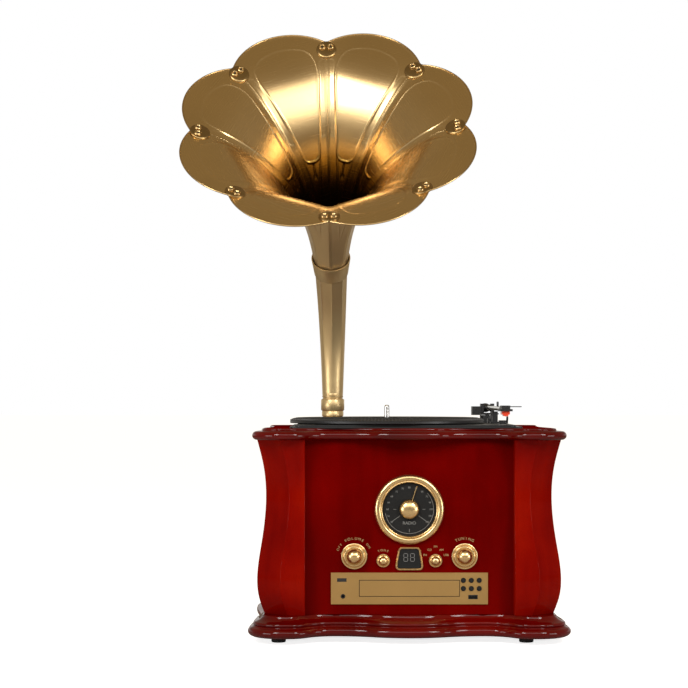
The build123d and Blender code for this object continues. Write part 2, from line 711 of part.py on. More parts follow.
with BuildPart() as tonearm_base:
    for radius, low, high in ((15, DECK_BELOW_ARM, DECK_BELOW_ARM + 3.5), (11, DECK_BELOW_ARM + 3.5, -11.0)):
        with BuildSketch(Plane.XY.offset(low)):
            Circle(radius)
            Circle(YOKE_POST + RUNNING_FIT, mode=Mode.SUBTRACT)
        extrude(amount=high - low)
save(tonearm_base, "tonearm_base", ARM)

with BuildPart() as tonearm_pivot:
    with BuildSketch(Plane.XY.offset(DECK_BELOW_ARM + 1)):
        Circle(YOKE_POST)
    extrude(amount=-9 - DECK_BELOW_ARM)
    with BuildSketch(Plane.XY.offset(-10.5)):
        Circle(10.5)
    extrude(amount=3)
    with BuildSketch(Plane.XY.offset(-7.5)):
        with Locations((0, (CHEEK_IN + CHEEK_OUT) / 2), (0, -(CHEEK_IN + CHEEK_OUT) / 2)):
            Rectangle(14, CHEEK_OUT - CHEEK_IN)
    extrude(amount=13.9)
    with BuildSketch(Plane.XY.offset(-10.8)):
        with Locations((0, -CHEEK_OUT - 6.6)):
            RectangleRounded(18, 13.4, 1)
    extrude(amount=13.1)
    with BuildSketch(Plane.XZ):
        Circle(ARM_PIN + RUNNING_FIT)
    extrude(amount=20, both=True, mode=Mode.SUBTRACT)
save(tonearm_pivot, "tonearm_pivot", ARM)

with BuildPart() as tonearm_tube:
    with BuildSketch(Plane.YZ.offset(-38)):
        Circle(TUBE_RADIUS)
    extrude(amount=ARM_LENGTH - 22 + 38)
    with BuildSketch(Plane.XZ):
        Circle(ARM_PIN)
    extrude(amount=CHEEK_OUT, both=True)
    with BuildSketch(Plane.XZ.offset(-4)):
        Circle(5)
    extrude(amount=8)
    with BuildSketch(Plane.XY):
        with Locations((125, 0)):
            Circle(1.6)
    extrude(amount=9.9)
    with BuildSketch(Plane.YZ.offset(ARM_LENGTH - 34)):
        Circle(TUBE_RADIUS + 1.2)
    extrude(amount=12)
save(tonearm_tube, "tonearm_tube", ARM)

with BuildPart() as headshell:
    with BuildSketch(Plane.XY.offset(-3.4)):
        with BuildLine():
            Polyline((ARM_LENGTH - 22, -5), (ARM_LENGTH - 14, -9), (ARM_LENGTH + 10, -9),
                     (ARM_LENGTH + 10, 9), (ARM_LENGTH - 14, 9), (ARM_LENGTH - 22, 5), (ARM_LENGTH - 22, -5))
        make_face()
    extrude(amount=3.0)
    with BuildSketch(Plane.XY.offset(-0.4)):
        with Locations((ARM_LENGTH - 3, 0)):
            Rectangle(20, 12)
    extrude(amount=5.0)
    with BuildSketch(Plane.XY.offset(2.4)):
        with Locations((ARM_LENGTH + 4, 13.5)):
            Rectangle(5, 17)
    extrude(amount=1.2)
save(headshell, "headshell", ARM)

with BuildPart() as cartridge:
    with BuildSketch(Plane.XY.offset(-3.4)):
        with Locations((ARM_LENGTH - 2, 0)):
            Rectangle(17, 11)
    extrude(amount=-4.6)
    with BuildSketch(Plane.XY.offset(-8.0)):
        with Locations((ARM_LENGTH + 1, 0)):
            Rectangle(11, 7)
    extrude(amount=-2.2)
    with BuildSketch(Plane.XY.offset(-10.2)):
        with Locations((ARM_LENGTH, 0)):
            Circle(0.5)
    extrude(amount=-0.8)
save(cartridge, "cartridge", ARM)

with BuildPart() as counterweight:
    with BuildSketch(Plane.YZ.offset(-34)):
        Circle(6.8)
        Circle(TUBE_RADIUS, mode=Mode.SUBTRACT)
    extrude(amount=18)
    chamfer(counterweight.edges().filter_by(GeomType.CIRCLE).sort_by(SortBy.RADIUS)[-2:], 1.2)
save(counterweight, "counterweight", ARM)

with BuildPart() as arm_rest:
    with BuildSketch(Plane.XY.offset(DECK_BELOW_ARM)):
        with Locations((REST_X, 0)):
            RectangleRounded(16, 14, 3)
    extrude(amount=2.5)
    with BuildSketch(Plane.XY.offset(DECK_BELOW_ARM + 2.5)):
        with Locations((REST_X, 0)):
            Rectangle(8, 8)
    extrude(amount=-4.6 - DECK_BELOW_ARM - 2.5)
save(arm_rest, "arm_rest", ARM)

with BuildPart() as cue_lift:
    with BuildSketch(Plane.XY.offset(DECK_BELOW_ARM + 2)):
        with Locations((CUE_BAR_X, 0)):
            Circle(2)
    extrude(amount=-9.4 - DECK_BELOW_ARM)
    with BuildSketch(Plane.XY.offset(-9.4)):
        with Locations((CUE_BAR_X, -4)):
            RectangleRounded(5, 28, 2)
    extrude(amount=1.8)
save(cue_lift, "cue_lift", ARM)

with BuildPart() as cue_housing:
    with BuildSketch(Plane.XY.offset(DECK_BELOW_ARM)):
        with Locations((CUE_BAR_X, 0)):
            RectangleRounded(14, 14, 2)
            Circle(2 + RUNNING_FIT, mode=Mode.SUBTRACT)
    extrude(amount=7)
    with BuildSketch(Plane.XY.offset(DECK_BELOW_ARM)):
        with Locations((CUE_LEVER_X, 6)):
            RectangleRounded(16, 10, 2)
    extrude(amount=5)
    with BuildSketch(Plane.XZ.offset(-20)):
        with Locations((CUE_LEVER_X, LEVER_Z)):
            Circle(CUE_PIN + RUNNING_FIT)
    extrude(amount=20, mode=Mode.SUBTRACT)
save(cue_housing, "cue_housing", ARM)

with BuildPart() as cue_lever:
    with BuildSketch(Plane.XZ.offset(-14)):
        with Locations((CUE_LEVER_X, LEVER_Z)):
            Circle(CUE_PIN)
    extrude(amount=12)
    with BuildSketch(Plane.XZ.offset(-14)):
        with Locations(Location((CUE_LEVER_X, LEVER_Z), -25)):
            with Locations((0, 2.5)):
                SlotCenterToCenter(7, 4, rotation=90)
    extrude(amount=2.5)
save(cue_lever, "cue_lever", ARM)

# ------------------------------------------------------------------ horn

# In a vertical plane through the swivel axis: u forward from that axis, v up from the surface
def elbow_station(turn):
    """Centre and slope of the elbow after it has turned by an angle in degrees."""
    u = ELBOW_BEND_RADIUS * (1 - cos(radians(turn)))
    v = ELBOW_BEND_START + ELBOW_BEND_RADIUS * sin(radians(turn))
    return u, v


def horn_plane(u, v, turn):
    """A plane square to the horn's centre line, leaning forward by an angle from the vertical."""
    forward = Vector(-sin(radians(HORN_YAW)), -cos(radians(HORN_YAW)), 0)
    across = Vector(cos(radians(HORN_YAW)), -sin(radians(HORN_YAW)), 0)
    centre = Vector(SWIVEL[0], SWIVEL[1], v) + forward * u
    along = forward * sin(radians(turn)) + Vector(0, 0, cos(radians(turn)))
    return Plane(origin=centre, x_dir=across, z_dir=along)


bend = 90.0 - BELL_ELEVATION
bend_u, bend_v = elbow_station(bend)
elbow_end = (bend_u + ELBOW_RUN_OUT * sin(radians(bend)), bend_v + ELBOW_RUN_OUT * cos(radians(bend)))
bell_start = (elbow_end[0] + SLEEVE_LENGTH * sin(radians(bend)),
              elbow_end[1] + SLEEVE_LENGTH * cos(radians(bend)))
arc_length = ELBOW_BEND_RADIUS * radians(bend)
elbow_length = ELBOW_BEND_START - ELBOW_FOOT + arc_length + ELBOW_RUN_OUT


def elbow_radius(distance):
    """Outer radius of the elbow at a distance along its centre line."""
    return FOOT_RADIUS + (MOUTH_RADIUS - FOOT_RADIUS) * distance / elbow_length


stations = [(0.0, ELBOW_FOOT, 0.0, 0.0)]
for step in range(7):
    turn = bend * step / 6
    u, v = elbow_station(turn)
    stations.append((u, v, turn, ELBOW_BEND_START - ELBOW_FOOT + arc_length * step / 6))
stations.append((*elbow_end, bend, elbow_length))

with BuildPart() as horn_elbow:
    for wall, mode in ((0.0, Mode.ADD), (SHEET, Mode.SUBTRACT)):
        for u, v, turn, distance in stations:
            with BuildSketch(horn_plane(u, v, turn)):
                Circle(elbow_radius(distance) - wall)
        loft(mode=mode)
save(horn_elbow, "horn_elbow")

with BuildPart() as horn_socket:
    for radius, low, high in ((17.5, TOP_SURFACE, TOP_SURFACE + 3), (15.9, SOCKET_BOTTOM, TOP_SURFACE)):
        with BuildSketch(Plane.XY.offset(low)):
            with Locations(SWIVEL):
                Circle(radius)
        extrude(amount=high - low)
    with BuildSketch(Plane.XY.offset(SOCKET_BOTTOM)):
        with Locations(SWIVEL):
            Circle(9)
    extrude(amount=60, mode=Mode.SUBTRACT)
    with BuildSketch(Plane.XY.offset(264)):
        with Locations(SWIVEL):
            Circle(SWIVEL_TENON + RUNNING_FIT)
    extrude(amount=60, mode=Mode.SUBTRACT)
save(horn_socket, "horn_socket")

FERRULE_RINGS = ((SWIVEL_TENON, TENON_BOTTOM, 297.3), (15.5, 297.3, 307.8), (16.5, 307.8, 315.6),
                 (17.75, 315.6, 334.3), (14.9, 334.3, 336.2), (FOOT_RADIUS, 336.2, ELBOW_FOOT))
with BuildPart() as horn_ferrule:
    for radius, low, high in FERRULE_RINGS:
        with BuildSketch(Plane.XY.offset(low)):
            Circle(radius)
        extrude(amount=high - low)
    barrel = horn_ferrule.edges().filter_by(GeomType.CIRCLE).filter_by_position(Axis.Z, 315.5, 334.4)
    fillet(barrel.sort_by(SortBy.RADIUS)[-2:], 1.0)
    with BuildSketch(Plane.XY.offset(TENON_BOTTOM)):
        Circle(10)
    extrude(amount=ELBOW_FOOT - TENON_BOTTOM, mode=Mode.SUBTRACT)
save(horn_ferrule, "horn_ferrule", Location((*SWIVEL, 0)))

with BuildPart() as horn_driver:
    with BuildSketch(Plane.XY.offset(228)):
        with Locations((SWIVEL[0], SWIVEL[1] - DRIVER_SHIFT)):
            Circle(29)
    extrude(amount=14)
    with BuildSketch(Plane.XY.offset(206)):
        with Locations((SWIVEL[0], SWIVEL[1] - DRIVER_SHIFT)):
            Circle(24)
    extrude(amount=22)
    with BuildSketch(Plane.XY.offset(242)):
        with Locations(SWIVEL):
            Circle(9)
    extrude(amount=16)
    with BuildSketch(Plane.XY.offset(236)):
        with Locations(SWIVEL):
            Circle(7)
    extrude(amount=30, mode=Mode.SUBTRACT)
save(horn_driver, "horn_driver")

# The bell is laid out in its own frame: z out along its axis from the sleeve's mouth, x across
BELL = (horn_plane(*bell_start, bend)).location * Location((0, 0, 0), (0, 0, HORN_ROLL))

with BuildPart() as horn_sleeve:
    with BuildSketch(Plane.XZ):
        with BuildLine():
            Polyline((MOUTH_RADIUS + 0.2, -SLEEVE_LENGTH - 1), (MOUTH_RADIUS + 1.6, -SLEEVE_LENGTH - 1),
                     (SLEEVE_MOUTH, -2), (SLEEVE_MOUTH, 0), (SLEEVE_MOUTH - 1.3, 0),
                     (SLEEVE_MOUTH - 1.3, -5), (MOUTH_RADIUS + 0.2, -SLEEVE_LENGTH - 1))
        make_face()
    revolve(axis=Axis.Z)
save(horn_sleeve, "horn_sleeve", BELL)


def bell_normal(index):
    """Unit normal of the bell curve at one of its points, away from the axis."""
    before = BELL_CURVE[max(index - 1, 0)]
    after = BELL_CURVE[min(index + 1, len(BELL_CURVE) - 1)]
    along = Vector(after[1] - before[1], after[0] - before[0]).normalized()
    return Vector(along.Y, -along.X)


inner_points = [Vector(radius, height) for height, radius in BELL_CURVE]
outer_points = [point + bell_normal(index) * SHEET for index, point in enumerate(inner_points)]
half_petal = 180.0 / PETALS
SEAM_GAP = 0.1            # degrees between neighbouring petals

with BuildPart() as one_petal:
    with BuildSketch(Plane.XZ):
        with BuildLine():
            Spline(*inner_points)
            Line(inner_points[-1], outer_points[-1])
            Spline(*reversed(outer_points))
            Line(outer_points[0], inner_points[0])
        make_face()
    revolve(axis=Axis.Z, revolution_arc=2 * half_petal - SEAM_GAP)
    swept_from_x = half_petal - SEAM_GAP / 2
    with BuildSketch(Plane.XY.offset(-30)):
        with Locations(Location((0, 0, 0), swept_from_x)):
            with Locations((PETAL_TIP - LOBE_RADIUS, 0)):
                Circle(LOBE_RADIUS)
            Circle(187.5)
    extrude(amount=400, mode=Mode.INTERSECT)

with BuildPart() as horn_petals:
    with PolarLocations(0, PETALS):
        add(one_petal.part)
save(horn_petals, "horn_petals", BELL)

# Clips sit on the seams, square to the sheet, on the side that faces out of the mouth
clip_index = [radius for height, radius in BELL_CURVE].index(CLIP_AT)
clip_normal = bell_normal(clip_index)
clip_point = inner_points[clip_index] - clip_normal * 0.8
clip_plane = Plane(origin=(clip_point.X, 0, clip_point.Y), x_dir=(0, 1, 0),
                   z_dir=(-clip_normal.X, 0, -clip_normal.Y))

with BuildPart() as one_clip:
    with BuildSketch(clip_plane):
        Circle(CLIP_RADIUS)
    extrude(amount=1.5)
    fillet(one_clip.edges().sort_by(Axis.Z)[-1], 1.0)

with BuildPart() as horn_clips:
    with PolarLocations(0, PETALS):
        add(one_clip.part)
save(horn_clips, "horn_clips", BELL)

with BuildPart() as one_screw_pair:
    with BuildSketch(clip_plane.offset(1.5)):
        with Locations((6, -4), (-6, -4)):
            Circle(5.2)
    extrude(amount=2.6)
    fillet(one_screw_pair.faces().sort_by(Axis.Z)[-1].edges(), 2.0)
    with BuildSketch(clip_plane.offset(1.5)):
        with Locations((6, -4), (-6, -4)):
            Circle(1.6)
    extrude(amount=-6)

with BuildPart() as clip_screws:
    with PolarLocations(0, PETALS):
        add(one_screw_pair.part)
save(clip_screws, "clip_screws", BELL)
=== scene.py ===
"""Looks of the gramophone-style music centre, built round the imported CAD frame."""
import json
from math import cos, degrees, pi, radians, sin, sqrt

import bpy
import numpy as np
from mathutils import Matrix, Vector


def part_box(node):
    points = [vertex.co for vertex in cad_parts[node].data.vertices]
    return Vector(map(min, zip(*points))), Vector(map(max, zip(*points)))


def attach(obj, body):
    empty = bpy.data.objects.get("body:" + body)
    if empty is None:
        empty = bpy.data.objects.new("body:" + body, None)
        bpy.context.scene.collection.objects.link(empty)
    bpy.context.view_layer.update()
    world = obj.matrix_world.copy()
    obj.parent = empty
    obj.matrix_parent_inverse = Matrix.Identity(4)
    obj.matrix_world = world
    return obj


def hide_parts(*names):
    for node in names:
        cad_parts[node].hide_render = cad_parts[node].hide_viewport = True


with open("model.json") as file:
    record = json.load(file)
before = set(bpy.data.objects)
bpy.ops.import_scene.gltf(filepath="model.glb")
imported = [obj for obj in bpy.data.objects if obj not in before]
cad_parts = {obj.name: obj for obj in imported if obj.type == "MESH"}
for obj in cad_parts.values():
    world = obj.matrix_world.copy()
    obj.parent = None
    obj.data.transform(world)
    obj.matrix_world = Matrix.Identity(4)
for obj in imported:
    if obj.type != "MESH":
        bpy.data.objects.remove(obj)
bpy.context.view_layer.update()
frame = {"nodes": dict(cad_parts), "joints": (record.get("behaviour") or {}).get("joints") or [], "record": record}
MM = 0.001

# ---------------- places, from the frame

joint_at = {joint["name"]: Vector(joint.get("pos_m") or (0, 0, 0)) for joint in frame["joints"]}


def middle(node):
    """Centre of a CAD node's box."""
    low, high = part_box(node)
    return (Vector(low) + Vector(high)) / 2


FRONT = Vector(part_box("front_panel")[0]).y                           # face of the front panel
CABINET = Vector((middle("base_moulding").x, FRONT + 150 * MM, 0))   # cabinet's centre line


def at(x, y, z):
    """A point given in millimetres from the cabinet's centre line, in the frame."""
    return CABINET + Vector((x, y, z)) * MM


def on_front(x, z, out=0.0):
    """A point on the front panel, or a little out of it, in millimetres."""
    return Vector((CABINET.x + x * MM, FRONT - out * MM, z * MM))


def front_place(node):
    """X and Z of a control's middle on the front, in millimetres."""
    centre = middle(node)
    return (centre.x - CABINET.x) / MM, centre.z / MM


def link(thing):
    """Puts an object into the scene."""
    bpy.context.scene.collection.objects.link(thing)
    return thing


# ---------------- mesh helpers

def make(name, verts, faces, material, body, sharp=None, uvs=None):
    """A mesh piece that rides on a body; edges sharper than this many degrees stay crisp."""
    mesh = bpy.data.meshes.new(name)
    mesh.from_pydata([tuple(v) for v in verts], [], [tuple(int(i) for i in f) for f in faces])
    mesh.validate()
    mesh.update()
    mesh.shade_smooth()
    if sharp is not None:
        mesh.set_sharp_from_angle(angle=radians(sharp))
    if uvs is not None:
        layer = mesh.uv_layers.new(name="surface")
        loops = np.empty(len(mesh.loops), dtype=np.int32)
        mesh.loops.foreach_get("vertex_index", loops)
        layer.data.foreach_set("uv", np.asarray(uvs, dtype=np.float32)[loops].ravel())
    piece = link(bpy.data.objects.new(name, mesh))
    mesh.materials.append(material)
    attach(piece, body)
    return piece


def grid_faces(rows, columns, wrap=False, start=0):
    """Quads over a grid of rows x columns vertices; wrap joins the last column to the first."""
    faces = []
    last = columns if wrap else columns - 1
    for row in range(rows - 1):
        for column in range(last):
            after = (column + 1) % columns
            faces.append((start + row * columns + column, start + row * columns + after,
                          start + (row + 1) * columns + after, start + (row + 1) * columns + column))
    return faces


def axes_for(direction, across=(1, 0, 0)):
    """Rotation whose local z is direction and whose local x is as near across as it can be."""
    z = Vector(direction).normalized()
    x = Vector(across)
    x = (x - z * x.dot(z)).normalized()
    y = z.cross(x)
    return Matrix((x, y, z)).transposed()


def lathe(name, origin, direction, profile, material, body, segments=96, sharp=28,
          turn=None):
    """Turns (radius, height) points in millimetres about an axis."""
    turn = turn or axes_for(direction)
    verts, faces = [], []
    for radius, height in profile:
        for step in range(segments):
            angle = 2 * pi * step / segments
            local = Vector((radius * cos(angle), radius * sin(angle), height)) * MM
            verts.append(origin + turn @ local)
    faces += grid_faces(len(profile), segments, wrap=True)
    return make(name, verts, faces, material, body, sharp)


def tube(name, path, radius, material, body, sides=12):
    """A round tube along points in metres; radius in millimetres, or one for each point."""
    points = [Vector(p) for p in path]
    count = len(points)
    radii = radius if isinstance(radius, (list, tuple)) else [radius] * count
    verts = []
    side = None
    for index, point in enumerate(points):
        ahead = points[min(index + 1, count - 1)] - points[max(index - 1, 0)]
        ahead.normalize()
        if side is None:
            side = ahead.orthogonal().normalized()
        side = (side - ahead * side.dot(ahead)).normalized()
        other = ahead.cross(side)
        for step in range(sides):
            angle = 2 * pi * step / sides
            verts.append(point + (side * cos(angle) + other * sin(angle)) * radii[index] * MM)
    faces = grid_faces(count, sides, wrap=True)
    faces.append(tuple(range(sides - 1, -1, -1)))
    faces.append(tuple(range((count - 1) * sides, count * sides)))
    return make(name, verts, faces, material, body, sharp=40)


def block(name, centre, size, material, body, bevel=0.6, turn=None, segments=3):
    """A box with rounded edges, sizes in millimetres."""
    half = Vector(size) * MM / 2
    turn = turn or Matrix.Identity(3)
    verts = [Vector(centre) + turn @ Vector((x * half.x, y * half.y, z * half.z))
             for x in (-1, 1) for y in (-1, 1) for z in (-1, 1)]
    faces = [(0, 1, 3, 2), (4, 6, 7, 5), (0, 4, 5, 1), (2, 3, 7, 6), (0, 2, 6, 4), (1, 5, 7, 3)]
    piece = make(name, verts, faces, material, body, sharp=60)
    edge = piece.modifiers.new("edge", "BEVEL")
    edge.width = bevel * MM
    edge.segments = segments
    edge.limit_method = "ANGLE"
    edge.angle_limit = radians(40)
    edge.harden_normals = True


def stand_for(piece, *nodes):
    """The piece takes the place of these CAD nodes."""
    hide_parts(*nodes)
    return piece


def smooth_step(low, high, value):
    """0 below low, 1 above high, smooth between; works on arrays."""
    part = np.clip((value - low) / (high - low), 0, 1)
    return part * part * (3 - 2 * part)


# ---------------- materials

def new_material(name, color, roughness, metallic=0.0, coat=0.0, coat_roughness=0.05):
    """A Principled material with its constants set on the shader's own sockets."""
    material = bpy.data.materials.new(name)
    material.use_nodes = True
    shader = material.node_tree.nodes["Principled BSDF"]
    for socket, value in (("Base Color", (*color, 1)), ("Roughness", roughness),
                          ("Metallic", metallic), ("Coat Weight", coat),
                          ("Coat Roughness", coat_roughness), ("IOR", 1.5)):
        shader.inputs[socket].default_value = value
    return material, material.node_tree, shader


def add_node(tree, kind, **values):
    """A node with its inputs set by name, spaces written as underscores."""
    node = tree.nodes.new(kind)
    for key, value in values.items():
        node.inputs[key.replace("_", " ")].default_value = value
    return node


def noise(tree, scale, detail=4.0, stretch=(1, 1, 1), coordinates="Object"):
    """Noise over the object's own coordinates, stretched along an axis."""
    source = tree.nodes.new("ShaderNodeTexCoord")
    mapping = add_node(tree, "ShaderNodeMapping", Scale=stretch)
    texture = add_node(tree, "ShaderNodeTexNoise", Scale=scale, Detail=detail)
    tree.links.new(source.outputs[coordinates], mapping.inputs["Vector"])
    tree.links.new(mapping.outputs["Vector"], texture.inputs["Vector"])
    return texture.outputs["Fac"]


def ramp(tree, source, stops):
    """A colour ramp of (place, colour) stops."""
    node = tree.nodes.new("ShaderNodeValToRGB")
    elements = node.color_ramp.elements
    while len(elements) < len(stops):
        elements.new(0.5)
    for element, (place, color) in zip(elements, stops):
        element.position = place
        element.color = (*color, 1)
    tree.links.new(source, node.inputs["Fac"])
    return node.outputs["Color"]


def map_range(tree, source, smooth=False, **limits):
    """Maps a value from one range onto another; the limits are named as for add_node."""
    node = add_node(tree, "ShaderNodeMapRange", **limits)
    if smooth:
        node.interpolation_type = "SMOOTHSTEP"
    tree.links.new(source, node.inputs["Value"])
    return node.outputs["Result"]


def spread(tree, source, low, high):
    """Maps a 0 to 1 value onto a range."""
    return map_range(tree, source, To_Min=low, To_Max=high)


def mix(tree, kind, factor, first, second, blend="MIX"):
    """Mixes two values (kind FLOAT) or two colours (kind RGBA)."""
    node = tree.nodes.new("ShaderNodeMix")
    node.data_type = kind
    node.blend_type = blend
    node.inputs["Factor"].default_value = factor
    tree.links.new(first, node.inputs["A"])
    tree.links.new(second, node.inputs["B"])
    return node.outputs["Result"]


def compute(tree, operation, *sources):
    """A maths node on one or two values."""
    node = tree.nodes.new("ShaderNodeMath")
    node.operation = operation
    for number, source in enumerate(sources):
        tree.links.new(source, node.inputs[number])
    return node.outputs[0]


def parts_of(tree, coordinates):
    """The X, Y and Z outputs of a texture coordinate."""
    place = tree.nodes.new("ShaderNodeTexCoord")
    split = tree.nodes.new("ShaderNodeSeparateXYZ")
    tree.links.new(place.outputs[coordinates], split.inputs["Vector"])
    return split.outputs


def by_ray(tree, elsewhere, to_camera, surface):
    """One shader where the camera looks straight at it, another for every other ray."""
    seen = tree.nodes.new("ShaderNodeLightPath")
    node = tree.nodes.new("ShaderNodeMixShader")
    tree.links.new(seen.outputs["Is Camera Ray"], node.inputs["Fac"])
    tree.links.new(elsewhere, node.inputs[1])
    tree.links.new(to_camera, node.inputs[2])
    tree.links.new(node.outputs["Shader"], surface)


def bump(tree, shader, source, strength, distance):
    """Bump from a height in 0 to 1, its distance in millimetres."""
    node = add_node(tree, "ShaderNodeBump", Strength=strength, Distance=distance * MM)
    tree.links.new(source, node.inputs["Height"])
    tree.links.new(node.outputs["Normal"], shader.inputs["Normal"])


def wood(name, dark, mid, light, grain, coat, gloss=0.05):
    """Cherry stain under lacquer; grain is the stretch of the figure along each axis."""
    material, tree, shader = new_material(name, mid, 0.34, coat=coat, coat_roughness=gloss)
    shader.inputs["Specular IOR Level"].default_value = 0.0
    figure = noise(tree, 7.0, 5.0, grain)
    cloud = noise(tree, 9.0, 3.0)
    pores = noise(tree, 260.0, 2.0, grain)
    blend = mix(tree, "FLOAT", 0.62, figure, cloud)
    color = ramp(tree, blend, ((0.34, dark), (0.5, mid), (0.66, light)))
    speck = ramp(tree, pores, ((0.30, (0.55, 0.55, 0.55)), (0.42, (1, 1, 1))))
    tree.links.new(mix(tree, "RGBA", 0.4, color, speck, "MULTIPLY"), shader.inputs["Base Color"])
    tree.links.new(spread(tree, cloud, 0.28, 0.42), shader.inputs["Roughness"])
    bump(tree, shader, pores, 0.06, 0.05)
    return material


def bell_brass():
    """Brushed brass of the petals, with painted shade: browner and darker down in the throat."""
    material, tree, shader = new_material("brass_bell", (0.72, 0.50, 0.24), 0.17, metallic=1.0)
    along = noise(tree, 1.0, 4.0, (1.6, 0.02, 1), "UV")
    around = noise(tree, 1.0, 4.0, (0.02, 1.6, 1), "UV")
    cloud = noise(tree, 14.0, 3.0)
    # Painted shade: the colour darkens along the sheet towards the throat, for the dim light far down in the bell.
    depth = map_range(tree, parts_of(tree, "UV")["Y"], From_Min=20.0, From_Max=260.0)
    painted_throat_shade = ramp(tree, depth, ((0.0, (0.05, 0.022, 0.006)), (0.42, (0.11, 0.06, 0.013)),
                              (0.55, (0.22, 0.125, 0.028)), (0.66, (0.52, 0.34, 0.14)),
                              (0.8, (0.70, 0.485, 0.23))))
    tone = ramp(tree, cloud, ((0.3, (0.93, 0.93, 0.93)), (0.7, (1, 1, 1))))
    tree.links.new(mix(tree, "RGBA", 1.0, painted_throat_shade, tone, "MULTIPLY"), shader.inputs["Base Color"])
    tree.links.new(spread(tree, around, 0.18, 0.32), shader.inputs["Roughness"])
    bump(tree, shader, along, 0.25, 0.02)
    return material


def brushed(name, color, roughness, scale, depth, tint, stretch=(1, 1, 1), metallic=1.0):
    """Brushed metal: fine scratches along one direction, and slow changes of tone."""
    material, tree, shader = new_material(name, color, roughness, metallic=metallic)
    scratches = noise(tree, scale, 3.0, stretch)
    cloud = noise(tree, 14.0, 3.0)
    darker = tuple(c * (1 - tint) for c in color)
    lighter = tuple(min(1.0, c * (1 + tint)) for c in color)
    tree.links.new(ramp(tree, cloud, ((0.3, darker), (0.7, lighter))), shader.inputs["Base Color"])
    tree.links.new(spread(tree, scratches, roughness * 0.75, roughness * 1.3), shader.inputs["Roughness"])
    bump(tree, shader, scratches, 0.25, depth)
    return material


def moulded(name, color, roughness, grain=900.0, depth=0.03, coat=0.0):
    """Moulded plastic or rubber with a fine texture."""
    material, tree, shader = new_material(name, color, roughness, coat=coat)
    fine = noise(tree, grain, 2.0)
    slow = noise(tree, 25.0, 2.0)
    darker = tuple(c * 0.8 for c in color)
    lighter = tuple(c * 1.25 for c in color)
    tree.links.new(ramp(tree, slow, ((0.3, darker), (0.7, lighter))), shader.inputs["Base Color"])
    rough = spread(tree, fine, roughness * 0.85, min(1.0, roughness * 1.2))
    tree.links.new(rough, shader.inputs["Roughness"])
    bump(tree, shader, fine, 0.3, depth)
    return material


def glowing(name, color, strength):
    """Lit segments behind the display window."""
    material, tree, shader = new_material(name, color, 0.4)
    shader.inputs["Emission Color"].default_value = (*color, 1)
    shader.inputs["Emission Strength"].default_value = strength
    cloud = noise(tree, 60.0)
    tree.links.new(spread(tree, cloud, 0.35, 0.45), shader.inputs["Roughness"])
    return material


upright = (5, 5, 0.8)
lengthways = (0.8, 5, 5)
wood_panel = wood("wood_panel", (0.085, 0.0003, 0.0001), (0.12, 0.0004, 0.0002), (0.155, 0.0007, 0.0002),
                  upright, 0.03, 0.15)
# Same cherry as the panel, painted lighter to stand in for the side light on the corner facets.
wood_post_painted_lighter = wood("wood_post_painted_lighter", (0.14, 0.0008, 0.0002), (0.20, 0.002, 0.0002), (0.26, 0.005, 0.0004),
                 upright, 0.10, 0.06)
wood_trim = wood("wood_trim", (0.055, 0.0003, 0.0002), (0.095, 0.0005, 0.0002), (0.14, 0.0015, 0.0005),
                 lengthways, 0.6, 0.03)
wood_flat = wood("wood_flat", (0.10, 0.0006, 0.0003), (0.16, 0.001, 0.0005), (0.21, 0.003, 0.001),
                 lengthways, 0.0)
brass = bell_brass()
brass_back = brushed("brass_back", (0.70, 0.50, 0.25), 0.34, 500.0, 0.01, 0.05, metallic=0.75)
brass_tube = brushed("brass_tube", (0.74, 0.54, 0.27), 0.36, 500.0, 0.01, 0.05, (2, 2, 0.05), 0.75)
brass_dark = brushed("brass_dark", (0.34, 0.22, 0.09), 0.30, 900.0, 0.01, 0.08)
brass_bead = brushed("brass_bead", (0.56, 0.38, 0.17), 0.26, 900.0, 0.01, 0.08)
gold = brushed("gold_satin", (0.80, 0.56, 0.27), 0.26, 1500.0, 0.012, 0.05)
gold_plate = brushed("gold_plate", (0.58, 0.36, 0.135), 0.42, 2500.0, 0.02, 0.04, (0.02, 1, 1))
gold_ink = brushed("gold_ink", (0.80, 0.62, 0.30), 0.38, 1500.0, 0.01, 0.05)
steel = brushed("steel", (0.62, 0.62, 0.60), 0.22, 1200.0, 0.01, 0.05)
chrome = brushed("chrome", (0.75, 0.75, 0.74), 0.10, 1200.0, 0.005, 0.03)
black = moulded("black_plastic", (0.012, 0.012, 0.013), 0.38)
black_gloss = moulded("black_gloss", (0.008, 0.008, 0.009), 0.12, depth=0.006, coat=0.6)
rubber = moulded("rubber", (0.010, 0.010, 0.010), 0.7, 700.0, 0.06)
red_plastic = moulded("cartridge_red", (0.75, 0.055, 0.015), 0.25, depth=0.01, coat=0.4)
cloth_black = moulded("grille_paint", (0.015, 0.013, 0.013), 0.45)
board_green = moulded("circuit_board", (0.02, 0.13, 0.045), 0.4)
rib_black = moulded("rib_black", (0.045, 0.045, 0.047), 0.3)
# Matte near-black: the own colour of the buttons, display window and dial face, and painted shade in the drawer
# gap, the screw slots and the horn's throat.
black_and_painted_shade = moulded("matte_black_and_painted_shade", (0.003, 0.003, 0.003), 0.9)
segments_dim = glowing("display_digits", (0.16, 0.155, 0.15), 0.25)
ink_dim = moulded("dial_ink", (0.20, 0.20, 0.19), 0.5, depth=0.01)

slot_material = {
    "cherry_wood": wood_panel, "rubber_black": rubber, "brass_horn": brass_bead, "gold_satin": gold,
    "black_plastic": black, "button_black": black_gloss, "dial_black": black_gloss,
    "speaker_cloth": cloth_black, "steel": steel, "circuit_board": board_green,
    "cartridge_red": red_plastic,
}
for entry in frame["record"]["subparts"]:
    node = frame["nodes"][entry["node"]]
    for place in node.material_slots:
        place.material = slot_material[entry["material_slot"]]


def paint(node, material):
    """Gives a CAD node a better material."""
    for place in frame["nodes"][node].material_slots:
        place.material = material


paint("cd_panel", gold_plate)
paint("cd_drawer", gold_plate)

# ---------------- camera and light

